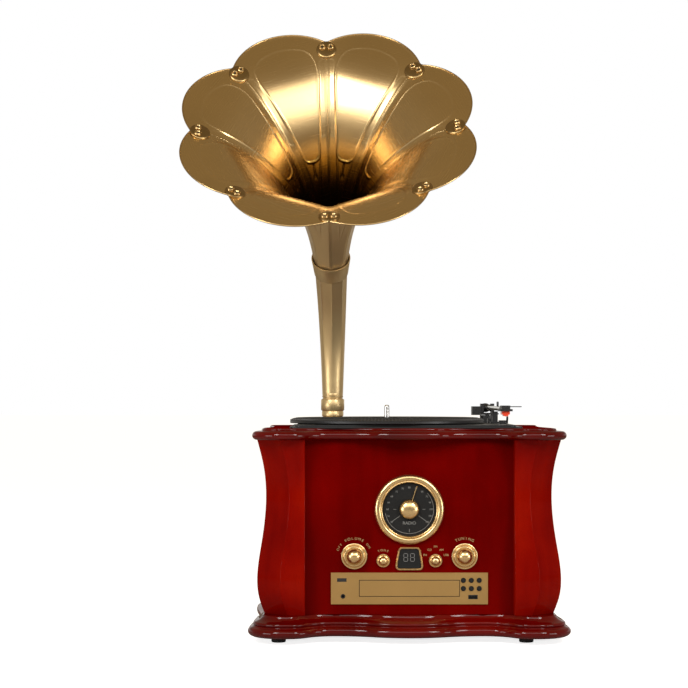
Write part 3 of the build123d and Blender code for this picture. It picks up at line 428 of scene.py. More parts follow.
EYE_X, EYE_HEIGHT, EYE_DISTANCE = -90.0, 340.0, 2800.0
camera_data = bpy.data.cameras.new("camera")
camera_data.lens = 100.7
camera_data.sensor_width = 36.0
camera_data.shift_y = 0.0741
camera_data.clip_end = 100.0
camera = link(bpy.data.objects.new("camera", camera_data))
camera.location = at(EYE_X, -EYE_DISTANCE, EYE_HEIGHT)
camera.rotation_euler = (pi / 2, 0, 0)
bpy.context.scene.camera = camera


def soft_light(name, place, target, width, height, power):
    """A rectangular soft box at a place in millimetres, turned to a target."""
    data = bpy.data.lights.new(name, "AREA")
    data.shape = "RECTANGLE"
    data.size = width * MM
    data.size_y = height * MM
    data.energy = power
    lamp = link(bpy.data.objects.new(name, data))
    lamp.location = at(*place)
    aim = at(*target) - lamp.location
    lamp.rotation_euler = aim.to_track_quat("-Z", "Y").to_euler()
    return lamp


KEY_BOXES = tuple(soft_light(f"key_{side}", (sign * 955, -1290, 1150), (0, -150, 300), 360, 640, 10)
                  for side, sign in (("left", -1), ("right", 1)))
FRONT_BOX = soft_light("front_box", (-60, -1250, 990), (-60, 0, 800), 1500, 620, 6.5)
SIDE_BOXES = tuple(soft_light(f"side_{side}", (sign * 1500, -950, 250), (0, 0, 200), 700, 480, 6)
                   for side, sign in (("left", -1), ("right", 1)))
for lamp in (FRONT_BOX, *KEY_BOXES, *SIDE_BOXES):
    lamp.visible_camera = False


def studio_world():
    """White to the camera; to the object, a room that is dim overhead and brighter low down."""
    world = bpy.data.worlds.new("studio")
    bpy.context.scene.world = world
    world.use_nodes = True
    tree = world.node_tree
    room = tree.nodes["Background"]
    toward = parts_of(tree, "Generated")
    height = map_range(tree, toward["Z"], From_Min=-1.0, From_Max=1.0)
    stops = ((0.0, (0.10, 0.09, 0.08)), (0.35, (0.12, 0.11, 0.10)), (0.50, (0.30, 0.285, 0.26)),
             (0.62, (0.33, 0.30, 0.25)), (0.80, (0.31, 0.255, 0.17)), (1.0, (0.30, 0.235, 0.135)))
    behind = map_range(tree, toward["Y"], True, From_Min=0.3, From_Max=0.8)
    level = map_range(tree, compute(tree, "ABSOLUTE", toward["Z"]), True,
                      From_Min=0.10, From_Max=0.30, To_Min=1.0, To_Max=0.0)
    paper = tree.nodes.new("ShaderNodeMix")
    paper.data_type = "RGBA"
    paper.inputs["B"].default_value = (0.95, 0.93, 0.88, 1)
    tree.links.new(compute(tree, "MULTIPLY", behind, level), paper.inputs["Factor"])
    tree.links.new(ramp(tree, height, stops), paper.inputs["A"])
    tree.links.new(paper.outputs["Result"], room.inputs["Color"])
    room.inputs["Strength"].default_value = 1.0
    white = add_node(tree, "ShaderNodeBackground", Color=(1, 1, 1, 1))
    by_ray(tree, room.outputs["Background"], white.outputs["Background"],
           tree.nodes["World Output"].inputs["Surface"])


studio_world()
bpy.context.scene.view_settings.view_transform = "Standard"


def studio_floor():
    """Pale floor: near white to the camera, with a soft contact shadow; grey in reflections."""
    material = bpy.data.materials.new("floor")
    material.use_nodes = True
    tree = material.node_tree
    tree.nodes.remove(tree.nodes["Principled BSDF"])
    grey = add_node(tree, "ShaderNodeBsdfDiffuse", Color=(0.55, 0.53, 0.50, 1))
    pale = add_node(tree, "ShaderNodeBsdfDiffuse", Color=(0.9, 0.9, 0.9, 1))
    glow = add_node(tree, "ShaderNodeEmission", Strength=0.82)
    bright = tree.nodes.new("ShaderNodeAddShader")
    tree.links.new(pale.outputs["BSDF"], bright.inputs[0])
    tree.links.new(glow.outputs["Emission"], bright.inputs[1])
    by_ray(tree, grey.outputs["BSDF"], bright.outputs["Shader"],
           tree.nodes["Material Output"].inputs["Surface"])
    reach = 30
    mesh = bpy.data.meshes.new("floor")
    mesh.from_pydata([(-reach, -reach, 0), (reach, -reach, 0), (reach, reach, 0), (-reach, reach, 0)], [],
                     [(0, 1, 2, 3)])
    mesh.materials.append(material)
    floor = link(bpy.data.objects.new("floor", mesh))


studio_floor()

# ---------------- cabinet woodwork

HALF_WIDTH, BACK_Y, BACK_CORNER, SIDE_RECESS_X, MIRROR_Y = 222.4, 185.0, 40.0, 213.5, -1.0
BULGE_Y, RECESS, LOBE = -190.0, (102.0, -167.0), (170.0, -200.0)
POST_FOOT, LID_BOTTOM, LID_TOP = 38.0, 278.4, 294.0
LID_EDGE = 21.6                                     # inset of the lid's raised field
UNDER_DECK = ((-150, 142), (-140, 112))             # the field stops under the deck


def arc_points(start, end, centre, turn_sign, count):
    """Points and outward normals along an arc; the normal points away from the outline."""
    first = np.arctan2(start[1] - centre[1], start[0] - centre[0])
    last = np.arctan2(end[1] - centre[1], end[0] - centre[0])
    last = first + (last - first + pi) % (2 * pi) - pi
    angles = np.linspace(first, last, count)
    radius = sqrt((start[0] - centre[0]) ** 2 + (start[1] - centre[1]) ** 2)
    return [((centre[0] + radius * cos(a), centre[1] + radius * sin(a)),
             (turn_sign * cos(a), turn_sign * sin(a))) for a in angles]


def s_curve(start, end, along_x, fine):
    """Two equal arcs whose end tangents run along X, or along Y, as (point, normal) pairs."""
    (x0, y0), (x1, y1) = start, end
    run, rise = (x1 - x0, y1 - y0) if along_x else (y1 - y0, x1 - x0)
    radius = (run ** 2 + rise ** 2) / (4 * abs(rise))
    side = 1 if rise > 0 else -1
    mid = ((x0 + x1) / 2, (y0 + y1) / 2)
    if along_x:
        return (arc_points(start, mid, (x0, y0 + side * radius), side, fine)
                + arc_points(mid, end, (x1, y1 - side * radius), -side, fine)[1:])
    return (arc_points(start, mid, (x0 + side * radius, y0), -side, fine)
            + arc_points(mid, end, (x1 - side * radius, y1), side, fine)[1:])


def moulding_plan(fine=14):
    """The serpentine outline, anticlockwise seen from above, as (point, normal) pairs."""
    side_y = LOBE[1] + HALF_WIDTH - LOBE[0]
    right = s_curve((0, BULGE_Y), RECESS, True, fine) + s_curve(RECESS, LOBE, True, fine)[1:]
    right += arc_points(LOBE, (HALF_WIDTH, side_y), (LOBE[0], side_y), 1, fine * 2)[1:]
    right += s_curve((HALF_WIDTH, side_y), (SIDE_RECESS_X, MIRROR_Y), False, fine)[1:]
    right += s_curve((SIDE_RECESS_X, MIRROR_Y), (HALF_WIDTH, BACK_Y - BACK_CORNER), False, fine)[1:]
    corner = (HALF_WIDTH - BACK_CORNER, BACK_Y - BACK_CORNER)
    right += arc_points((HALF_WIDTH, corner[1]), (corner[0], BACK_Y), corner, 1, fine)[1:]
    left = [((-x, y), (-nx, ny)) for (x, y), (nx, ny) in reversed(right) if x > 1e-6]
    return right + left


def moulding(name, profile, node):
    """A moulding swept round the serpentine plan: profile is (inset, height) in millimetres."""
    outline = moulding_plan()
    verts = []
    for inset, height in profile:
        for (x, y), (nx, ny) in outline:
            verts.append(at(x - nx * inset, y - ny * inset, height))
    faces = grid_faces(len(profile), len(outline), wrap=True)
    stand_for(make(name, verts, faces, wood_trim, "cabinet", sharp=34), node)


def quarter(centre_inset, centre_height, radius_in, radius_up, start, end, steps=8):
    """Profile points on an elliptical arc; angles in degrees, 0 outward and 90 up."""
    return [(centre_inset - radius_in * cos(radians(a)), centre_height + radius_up * sin(radians(a)))
            for a in np.linspace(start, end, steps)]


base_profile = [(45.0, 9.0), (6.0, 9.0)]
base_profile += quarter(7.0, 15.6, 7.0, 6.4, -80, 80, 14)
base_profile += [(6.6, 22.6), (7.0, 23.4)]
base_profile += quarter(10.6, 26.4, 3.2, 2.8, -50, 60, 8)
base_profile += [(11.4, 29.4), (13.6, 30.6), (16.0, 31.8), (17.6, 33.4), (19.4, 35.8)]
base_profile += quarter(21.2, 36.4, 1.6, 1.6, 10, 90, 5)
base_profile += [(24.0, POST_FOOT), (45.0, POST_FOOT)]
moulding("base_moulding_wood", base_profile, "base_moulding")


def top_board():
    """Bullnose lid with a stepped centre and a flat, satin top."""
    profile = [(30.0, LID_BOTTOM), (13.0, LID_BOTTOM)]
    profile += quarter(12.0, 284.4, 6.2, 6.0, -88, 88, 16)
    profile += [(16.4, 290.5), (19.0, 290.8)]
    profile += quarter(LID_EDGE, 292.3, 1.8, 1.7, -20, 90, 6)
    moulding("top_board_wood", profile, "top_board")
    outline = moulding_plan()
    edge = [(x - nx * LID_EDGE, y - ny * LID_EDGE) for (x, y), (nx, ny) in outline]
    inner = [(float(np.clip(x, *UNDER_DECK[0])), float(np.clip(y, *UNDER_DECK[1]))) for x, y in edge]
    verts = [at(x, y, LID_TOP) for x, y in edge + inner]
    make("top_board_field", verts, grid_faces(2, len(outline), wrap=True), wood_flat, "cabinet")


top_board()

POST_CURVE = ((POST_FOOT, 200.4), (60.0, 207.4), (85.0, 210.0), (139.0, 203.6), (201.0, 198.1),
              (243.0, 201.7), (LID_BOTTOM, 210.0))


def natural_spline(xs, ys):
    """A function that evaluates the natural cubic through the points."""
    xs, ys = np.asarray(xs, float), np.asarray(ys, float)
    count = len(xs)
    gaps = np.diff(xs)
    system = np.zeros((count, count))
    right = np.zeros(count)
    system[0, 0] = system[-1, -1] = 1
    for i in range(1, count - 1):
        system[i, i - 1:i + 2] = gaps[i - 1], 2 * (gaps[i - 1] + gaps[i]), gaps[i]
        right[i] = 6 * ((ys[i + 1] - ys[i]) / gaps[i] - (ys[i] - ys[i - 1]) / gaps[i - 1])
    second = np.linalg.solve(system, right)

    def value(x):
        x = np.asarray(x, float)
        i = np.clip(np.searchsorted(xs, x) - 1, 0, count - 2)
        a = (xs[i + 1] - x) / gaps[i]
        b = (x - xs[i]) / gaps[i]
        return (a * ys[i] + b * ys[i + 1]
                + ((a ** 3 - a) * second[i] + (b ** 3 - b) * second[i + 1]) * gaps[i] ** 2 / 6)
    return value


post_width = natural_spline(*zip(*POST_CURVE))


def rounded_path(points, radius, steps=5):
    """A polyline whose inner corners are rounded by small arcs."""
    out = [points[0]]
    for before, corner, after in zip(points, points[1:], points[2:]):
        c = np.array(corner)
        a = (np.array(before) - c) / np.linalg.norm(np.array(before) - c)
        b = (np.array(after) - c) / np.linalg.norm(np.array(after) - c)
        half = np.arccos(np.clip(a @ b, -1, 1)) / 2
        reach = radius / np.tan(half)
        for t in np.linspace(0, 1, steps):
            p = c + a * reach * (1 - t) ** 2 + b * reach * t ** 2
            out.append(tuple(p))
    out.append(points[-1])
    return out


def corner_posts():
    """Four S-curved posts of three facets each, the ridges a little rounded."""
    heights = np.linspace(POST_FOOT, LID_BOTTOM, 64)
    verts, faces = [], []
    for side in (1, -1):
        for end in (1, -1):
            start = len(verts)
            for height in heights:
                s = float(post_width(height))
                path = rounded_path([(143.5, -138.0), (143.5, -(s - 35)), (s - 33, -(s - 35)),
                                     (s, -(s - 68)), (s, -110.0), (188.0, -110.0)], 1.6)
                columns = len(path)
                for x, y in path:
                    y = y if end > 0 else 2 * MIRROR_Y - y
                    verts.append(at(side * x, y, height))
            quads = grid_faces(len(heights), columns, start=start)
            faces += quads if side * end > 0 else [tuple(reversed(q)) for q in quads]
    stand_for(make("corner_posts_wood", verts, faces, wood_post_painted_lighter, "cabinet", sharp=50),
              "corner_posts")


corner_posts()
paint("side_panels", wood_panel)
paint("usb_socket", black_gloss)
for word in ("play", "stop", "repeat", "back", "next", "mode"):
    paint(f"button_{word}", black_and_painted_shade)
paint("display_window", black_and_painted_shade)
paint("dial_face", black_and_painted_shade)

# ---------------- horn

SWIVEL = joint_at["horn_swivel"]
HORN_YAW, HORN_ROLL, ELEVATION = 1.0, 1.6, 42.0
ELBOW_FOOT, BEND_START, BEND_RADIUS, RUN_OUT, SLEEVE = 342.4, 364.6, 170.0, 48.0, 28.0
BEND = 90.0 - ELEVATION
PETALS, PETAL_TIP, LOBE_RADIUS = 8, 210.0, 89.5
BELL_CURVE = ((-6.0, 24.8), (35.0, 30.3), (100.0, 46.8), (167.0, 81.7), (210.0, 120.0),
              (230.0, 146.0), (243.0, 176.0), (250.5, 211.0))
forward = Vector((-sin(radians(HORN_YAW)), -cos(radians(HORN_YAW)), 0))
across = Vector((cos(radians(HORN_YAW)), -sin(radians(HORN_YAW)), 0))


def horn_centre(u, v):
    """A point u forward of the swivel axis and v up, in millimetres."""
    return Vector((SWIVEL.x, SWIVEL.y, 0)) + forward * u * MM + Vector((0, 0, v * MM))


def horn_axes(turn):
    """Rotation of a cross-section that leans forward by an angle in degrees."""
    along = forward * sin(radians(turn)) + Vector((0, 0, cos(radians(turn))))
    return axes_for(along, across)


def on_bend(turn, beyond=0.0):
    """(u, v) on the elbow's centre line after a turn in degrees, then a length straight on."""
    lean = radians(turn)
    return (BEND_RADIUS * (1 - cos(lean)) + beyond * sin(lean),
            BEND_START + BEND_RADIUS * sin(lean) + beyond * cos(lean))


bell_origin = horn_centre(*on_bend(BEND, RUN_OUT + SLEEVE))
bell_turn = horn_axes(BEND) @ Matrix.Rotation(radians(HORN_ROLL), 3, "Z")


def octagon(angle, roundness):
    """Radius factor of an octagon with its corners at 0, 45, ... degrees; 1 is a circle."""
    within = (np.degrees(angle) % 45.0) - 22.5
    flat = cos(radians(22.5)) / np.cos(np.radians(within))
    return flat * (1 - roundness) + roundness


def elbow():
    """Bent tube, round at its foot and eight-sided at its top."""
    arc = BEND_RADIUS * radians(BEND)
    straight = BEND_START - ELBOW_FOOT
    total = straight + arc + RUN_OUT
    verts, uvs = [], []
    rows, columns = 90, 96
    for distance in np.linspace(0, total, rows):
        if distance < straight:
            u, v, turn = 0.0, ELBOW_FOOT + distance, 0.0
        elif distance < straight + arc:
            turn = degrees((distance - straight) / BEND_RADIUS)
            u, v = on_bend(turn)
        else:
            turn = BEND
            u, v = on_bend(turn, distance - straight - arc)
        part = distance / total
        radius = 15.8 + 7.6 * part
        roundness = 1 - float(smooth_step(0.05, 0.7, part))
        turn_matrix = horn_axes(turn) @ Matrix.Rotation(radians(HORN_ROLL * part), 3, "Z")
        centre = horn_centre(u, v)
        for step in range(columns):
            angle = 2 * pi * step / columns
            corner = abs(((degrees(angle) + 22.5) % 45.0) - 22.5)
            ridge = 0.35 * (1 - roundness) * max(0.0, 1 - corner / 3.0)
            r = radius * float(octagon(angle, roundness)) + ridge
            verts.append(centre + turn_matrix @ Vector((r * cos(angle), r * sin(angle), 0)) * MM)
            uvs.append((angle * 20.0, distance))
    faces = grid_faces(rows, columns, wrap=True)
    stand_for(make("horn_elbow_skin", verts, faces, brass_tube, "horn", sharp=60, uvs=uvs),
              "horn_elbow")


elbow()
bell_axis = bell_turn @ Vector((0, 0, 1))


def bell_point(r, angle, t):
    """A point of the bell from its radius, angle and distance along the axis, in millimetres."""
    return bell_origin + bell_turn @ Vector((r * cos(angle), r * sin(angle), t)) * MM


def sleeve():
    """Conical collar over the joint between elbow and bell."""
    profile = ((23.3, -29.0), (24.9, -29.0), (25.2, -28.6), (28.5, -2.2), (28.7, -1.0), (28.6, -0.2),
               (28.2, 0.0), (27.4, 0.0), (27.2, -0.4), (27.1, -5.0), (23.3, -27.0))
    stand_for(lathe("horn_sleeve_skin", bell_origin, bell_axis, profile, brass_tube, "horn",
                    96, 35, bell_turn), "horn_sleeve")


sleeve()

bell_steps = np.array([0.0] + list(np.cumsum([sqrt((t1 - t0) ** 2 + (r1 - r0) ** 2)
                       for (t0, r0), (t1, r1) in zip(BELL_CURVE, BELL_CURVE[1:])])))
bell_t = natural_spline(bell_steps, [t for t, r in BELL_CURVE])
bell_r = natural_spline(bell_steps, [r for t, r in BELL_CURVE])
HALF_PETAL = radians(180.0 / PETALS)
LOBE_CENTRE = PETAL_TIP - LOBE_RADIUS
fine_steps = np.linspace(0, bell_steps[-1] + 20, 1500)
fine_radius = bell_r(fine_steps)
LINE_FROM_SEAM, LINE_FROM_RIM, LINE_WIDTH = 12.4, 25.0, 1.15
BOTTOM_CORNER, TOP_CORNER = 9.0, 24.0        # radii of the embossed outline's corners


def step_at(t):
    """Distance along the sheet at which the bell is t along its axis."""
    return float(np.interp(t, bell_t(fine_steps), fine_steps))


u_step, crease_step, channel_step = step_at(138.0), step_at(117.0), step_at(166.0)
clip_edge = float(np.interp(164.0, fine_radius, fine_steps))


def bell_slope(steps, reach):
    """How far the bell goes along its axis and outward from reach before to reach after."""
    return bell_t(steps + reach) - bell_t(steps - reach), bell_r(steps + reach) - bell_r(steps - reach)


def rounded_corner(a, b, radius):
    """Distance inside a corner of the given radius, from the distances to its two sides."""
    near = (a < radius) & (b < radius)
    return np.where(near, radius - np.hypot(radius - a, radius - b), np.minimum(a, b))


def facet_share(steps):
    """1 where the bell is eight-sided, less towards the rim."""
    return 1 - 0.6 * smooth_step(270, 350, steps)


def petal(index):
    """One sheet-metal petal with its embossed outline, centre crease, seam ridges and rolled rim."""
    columns, rows = 113, 230
    angles = np.linspace(-1, 1, columns) * HALF_PETAL
    flat = np.cos(HALF_PETAL) / np.cos(angles)
    rim_radius = (LOBE_CENTRE * np.cos(angles)
                  + np.sqrt(LOBE_RADIUS ** 2 - (LOBE_CENTRE * np.sin(angles)) ** 2))
    fine_share = facet_share(fine_steps)
    rim_step = np.array([np.interp(edge, fine_radius * (f * fine_share + 1 - fine_share), fine_steps)
                         for edge, f in zip(rim_radius, flat)])
    down = np.linspace(0, 1, rows) ** 0.9
    steps = down[:, None] * rim_step[None, :]
    t, r = bell_t(steps), bell_r(steps)
    slope_t, slope_r = bell_slope(steps, 0.5)
    length = np.sqrt(slope_t ** 2 + slope_r ** 2)
    normal_r, normal_t = -slope_t / length, slope_r / length     # towards the axis and out of the mouth
    share = facet_share(steps)
    shaped = r * (flat[None, :] * share + 1 - share)
    seam_reach = shaped * (HALF_PETAL - np.abs(angles))[None, :]
    x, y = shaped * np.cos(angles)[None, :], shaped * np.sin(angles)[None, :]
    from_side = seam_reach - LINE_FROM_SEAM
    from_rim = LOBE_RADIUS - np.hypot(np.maximum(x - LOBE_CENTRE, 0), y) - LINE_FROM_RIM
    inside = np.minimum(rounded_corner(from_side, steps - u_step, BOTTOM_CORNER),
                        rounded_corner(from_side, from_rim, TOP_CORNER))
    strength = 0.62 + 0.9 * np.exp(-((steps - u_step) / 5) ** 2) + 0.5 * smooth_step(30, 8, from_rim)
    line = strength * np.exp(-(inside / LINE_WIDTH) ** 2)
    side_line = 0.4 * np.exp(-(from_side / LINE_WIDTH) ** 2) * smooth_step(60, 110, steps)
    line = np.where(steps < u_step + BOTTOM_CORNER, np.maximum(line, side_line), line)
    in_crease = (smooth_step(crease_step, crease_step + 4, steps)
                 * (1 - smooth_step(u_step - 5, u_step - 2, steps)))
    crease = np.exp(-(y / 0.9) ** 2) * in_crease
    dimple = np.exp(-((y / 2.2) ** 2 + ((steps - crease_step) / 2.6) ** 2))
    ridge = np.exp(-(seam_reach / 1.3) ** 2)
    channel_side = 3.6 - np.abs(seam_reach - 0.5 * LINE_FROM_SEAM - 0.6)
    channel_end = np.minimum(steps - channel_step, clip_edge - steps)
    channel = smooth_step(-0.6, 0.6, rounded_corner(channel_side, channel_end, 3.5))
    rim_gap = (1 - down)[:, None] * rim_step[None, :]
    roll = np.exp(-(rim_gap / 2.2) ** 2)
    raised = line - 0.9 * crease - 0.9 * dimple + 0.8 * ridge - 0.3 * channel + 1.0 * roll
    out_r = shaped + normal_r * raised
    out_t = t + normal_t * raised
    turn = 2 * HALF_PETAL * (index + 0.5)
    verts, uvs = [], []
    for row in range(rows):
        for column in range(columns):
            verts.append(bell_point(out_r[row, column], angles[column] + turn, out_t[row, column]))
            uvs.append((y[row, column], steps[row, column]))
    piece = make(f"horn_petal_{index + 1}", verts, grid_faces(rows, columns), brass_back, "horn",
                 uvs=uvs)
    piece.data.materials.append(brass)
    solid = piece.modifiers.new("sheet", "SOLIDIFY")
    solid.material_offset = 1
    solid.thickness = 0.9 * MM
    solid.offset = 1.0
    rim = [bell_point(out_r[-1, c], angles[c] + turn, out_t[-1, c] - 0.2)
           for c in range(1, columns - 1, 2)]
    tube(f"horn_rim_{index + 1}", rim, 1.15, brass_bead, "horn", sides=10)
    return piece


petals = [petal(index) for index in range(PETALS)]
stand_for(petals[0], "horn_petals")


def throat_screen():
    """Painted shade: a dark disc across the throat, far down inside the bell, where there is only shade."""
    profile = ((0.0, 2.0), (12.0, 1.6), (23.0, 0.5), (23.5, -1.0))
    lathe("horn_throat_painted_shade", bell_origin, bell_axis, profile, black_and_painted_shade, "horn", 64)


throat_screen()

CLIP_AT = 176.0
clip_step = float(np.interp(CLIP_AT, fine_radius, fine_steps))
clip_t = float(bell_t(clip_step))
clip_slope = tuple(float(part) for part in bell_slope(clip_step, 1))


def clips():
    """Round seam clips, each with two domed cross-head screws."""
    size = sqrt(clip_slope[0] ** 2 + clip_slope[1] ** 2)
    inward = Vector((-clip_slope[0] / size, 0, clip_slope[1] / size))
    outline = ((0.0, 1.9), (6.0, 1.9), (11.5, 1.7), (13.3, 1.2), (14.2, 0.4), (14.5, -0.8),
               (14.2, -2.0), (12.0, -2.4), (0.0, -2.4))
    head = ((0.0, 1.5), (2.0, 1.5), (2.5, 2.1), (3.2, 2.8), (4.0, 2.8), (4.8, 2.2), (5.3, 1.0),
            (5.4, 0.0), (5.4, -0.6))
    for index in range(PETALS):
        spin = Matrix.Rotation(2 * HALF_PETAL * index, 3, "Z")
        direction = bell_turn @ spin @ inward
        centre = bell_origin + bell_turn @ spin @ Vector((CLIP_AT, 0, clip_t)) * MM + direction * 1.6 * MM
        around = bell_turn @ spin @ Vector((0, 1, 0))
        outward = around.cross(direction)
        plate = lathe(f"horn_clip_{index + 1}", centre, direction, outline, brass_dark, "horn",
                      48)
        screws = []
        for number, shift in enumerate((-6.0, 6.0)):
            place = centre + around * shift * MM + outward * 3.4 * MM + direction * 1.6 * MM
            screw = lathe(f"clip_screw_{index + 1}_{number + 1}", place, direction, head, brass_bead, "horn",
                          32)
            # Painted shade: the dark bars stand in for the shade in each screw's cross slot.
            for bar, angle in enumerate((20, 110)):
                turn = (Matrix((around, outward, direction)).transposed()
                        @ Matrix.Rotation(radians(angle), 3, "Z"))
                block(f"clip_screw_slot_{index + 1}_{number + 1}_{bar + 1}", place + direction * 1.4 * MM,
                      (3.8, 0.9, 0.8), black_and_painted_shade, "horn", 0.1, turn, 1)
            screws.append(screw)
        if index == 0:
            stand_for(plate, "horn_clips")
            stand_for(screws[0], "clip_screws")


clips()


def ferrule():
    """Stepped collar on which the horn swivels."""
    base = Vector((SWIVEL.x, SWIVEL.y, 0))
    profile = ((13.0, 270.0), (13.0, 297.4), (15.2, 297.4), (15.5, 297.8), (15.5, 306.8), (15.0, 307.4),
               (16.0, 308.0), (16.5, 308.6), (16.6, 314.2), (16.1, 315.2), (15.9, 315.6), (16.9, 316.4),
               (17.7, 317.6), (17.75, 332.2), (17.0, 333.6), (15.4, 334.4), (14.9, 335.0), (14.9, 336.0),
               (15.6, 336.4), (15.9, 337.0), (15.9, 338.6), (15.3, 339.2), (15.3, 339.8), (15.9, 340.3),
               (15.9, 341.8), (15.6, 342.6), (14.6, 342.8))
    stand_for(lathe("horn_ferrule_skin", base, (0, 0, 1), profile, brass_tube, "horn", 96, 35),
              "horn_ferrule")


ferrule()

# ---------------- record player

spindle_low, spindle_high = (Vector(c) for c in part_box("spindle"))
SPINDLE = (spindle_low + spindle_high) / 2
SPINDLE.z = 0


def platter():
    """Cast platter: chamfered lip, a band of ribs on the rim and the ring that the belt drives."""
    profile = [(3.6, 306.4), (132.6, 306.4), (133.4, 306.3), (137.0, 304.9), (139.3, 304.0),
               (139.9, 303.3), (139.9, 300.4), (139.4, 299.7), (136.6, 299.6), (136.2, 300.2),
               (136.0, 303.0), (80.0, 303.0), (80.0, 289.6), (77.0, 289.6), (77.0, 303.0),
               (12.0, 303.0), (12.0, 291.2), (3.6, 291.2)]
    body = lathe("platter_cast", SPINDLE, (0, 0, 1), profile, black, "turntable", 192)
    stand_for(body, "platter")
    verts, faces = [], []
    ribs = 180
    for rib in range(ribs):
        angle = 2 * pi * rib / ribs
        turn = Matrix.Rotation(angle, 3, "Z")
        start = len(verts)
        for radius, height, half in ((133.9, 306.35, 0.9), (139.0, 304.3, 1.0), (139.7, 303.9, 1.0)):
            for side, lift in ((-1, -0.3), (-0.45, 0.75), (0.45, 0.75), (1, -0.3)):
                local = Vector((radius + lift * 0.45, half * side, height + lift * 0.9)) * MM
                verts.append(SPINDLE + turn @ local)
        faces += grid_faces(3, 4, start=start)
        faces += [(start + 3, start + 2, start + 1, start), (start + 8, start + 9, start + 10, start + 11)]
    make("platter_ribs", verts, faces, rib_black, "turntable", sharp=30)


platter()


def platter_mat():
    """Rubber mat with concentric ribs."""
    profile = [(3.9, 306.5), (3.9, 307.3)]
    for ring in np.arange(20.0, 128.0, 3.0):
        profile += [(ring, 307.2), (ring + 0.6, 307.6), (ring + 1.6, 307.6), (ring + 2.2, 307.2)]
    profile += [(130.0, 307.2), (130.6, 307.6), (131.6, 307.5), (132.0, 307.0), (132.0, 306.5)]
    stand_for(lathe("platter_mat_rubber", SPINDLE, (0, 0, 1), profile, rubber, "turntable",
                    160), "platter_mat")


platter_mat()
paint("spindle", chrome)

PIVOT = joint_at["tonearm_swing"]
lift_axis = next(Vector(j["axis"]) for j in frame["joints"] if j["name"] == "tonearm_lift")
ARM_X = Vector((0, 0, 1)).cross(lift_axis).normalized()    # along the tube towards the stylus
if ARM_X.y > 0:
    ARM_X = -ARM_X
ARM_Y = Vector((0, 0, 1)).cross(ARM_X)
ARM_TURN = Matrix((ARM_X, ARM_Y, Vector((0, 0, 1)))).transposed()


def on_arm(x, y, z):
    """A point in the arm's own frame, in millimetres from its pivot."""
    return PIVOT + ARM_TURN @ Vector((x, y, z)) * MM


def tonearm():
    """Silver tube on a black gimbal, with counterweight, headshell and cartridge."""
    body = tube("tonearm_tube_skin", [on_arm(x, 0, 0) for x in (-38, -37.2, -20, 60, 120, 176, 188)],
                [2.6, 3.2, 3.2, 3.2, 3.2, 3.2, 3.2], steel, "arm", sides=32)
    stand_for(body, "tonearm_tube")
    collar = ((3.2, 0), (4.3, 0.2), (4.4, 1), (4.4, 10.8), (4.1, 11.6), (3.2, 12))
    hub = ((0.0, 0), (4.7, 0), (5.0, 0.4), (5.0, 8.8), (4.7, 9.2), (0.0, 9.2))
    axle = ((0.0, 0), (1.2, 0), (1.2, 16.6), (0.0, 16.6))
    pin = ((1.6, 0), (1.6, 9.0), (1.2, 9.8), (0.0, 9.9))
    for name, place, axis, profile, material, slot, segments in (
            ("collar", (176, 0, 0), ARM_X, collar, black, "black_plastic", 32),
            ("hub", (0, -4.6, 0), ARM_Y, hub, black, "black_plastic", 32),
            ("axle", (0, -8.3, 0), ARM_Y, axle, steel, "steel", 24),
            ("pin", (125, 0, 0), (0, 0, 1), pin, black, "black_plastic", 24)):
        lathe(f"tonearm_{name}", on_arm(*place), axis, profile, material, "arm", segments)


tonearm()
paint("counterweight", black)

# ---------------- front controls

OUT = Vector((0, -1, 0))


def front_at(node):
    """The point on the front panel's face behind a control."""
    centre = middle(node)
    return Vector((centre.x, FRONT, centre.z))


def dome(radius, base, height=None, start=0, count=9):
    """Points of a rounded end, a hemisphere unless a height is given."""
    height = height or radius
    return tuple((radius * cos(radians(a)), base + height * sin(radians(a)))
                 for a in np.linspace(start, 90, count))


BIG_KNOB = ((17.2, 0.5), (17.8, 0.7), (18.0, 1.2), (18.0, 2.0), (17.6, 2.9), (16.6, 3.4), (15.4, 3.3),
            (14.9, 2.9), (14.5, 3.2), (14.7, 4.6), (14.3, 5.6), (13.4, 6.2), (12.0, 6.2), (11.3, 5.8),
            (10.9, 5.8)) + dome(10.9, 6.0)
SMALL_KNOB = ((9.0, 0.5), (9.4, 0.8), (9.5, 1.4), (9.4, 2.2), (8.9, 2.8), (7.9, 3.0), (7.3, 2.7),
              (7.1, 3.0), (7.2, 3.8), (6.8, 4.6), (6.4, 4.8)) + dome(6.4, 5.1)
for word, profile, segments in (("volume", BIG_KNOB, 96), ("tuning", BIG_KNOB, 96),
                                ("tone", SMALL_KNOB, 64), ("selector", SMALL_KNOB, 64)):
    node = f"{word}_knob"
    stand_for(lathe(f"{node}_turned", front_at(node), OUT, profile, gold, word, segments,
                    35), node)


def lettering(name, text, x, z, size, material, out=0.15, spin=0.0, body="cabinet"):
    """Raised lettering on the front, from generic words and numbers only."""
    data = bpy.data.curves.new(name, "FONT")
    data.body = text
    data.size = size * MM
    data.extrude = 0.12 * MM
    data.align_x = "CENTER"
    data.align_y = "CENTER"
    piece = bpy.data.objects.new(name, data)
    turn = Matrix.Rotation(-radians(spin), 3, "Y") @ axes_for(OUT, (1, 0, 0))
    piece.matrix_world = Matrix.Translation(on_front(x, z, out)) @ turn.to_4x4()
    link(piece)
    data.materials.append(material)
    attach(piece, body)


DIAL = front_at("dial_face")
dial_x, dial_z = front_place("dial_face")


def hand(degrees_from_up):
    """A direction on the dial, clockwise from up, and the turn of a box laid along it."""
    place = radians(degrees_from_up)
    along = Vector((sin(place), 0, cos(place)))
    return along, Matrix((along, -OUT, along.cross(-OUT))).transposed()


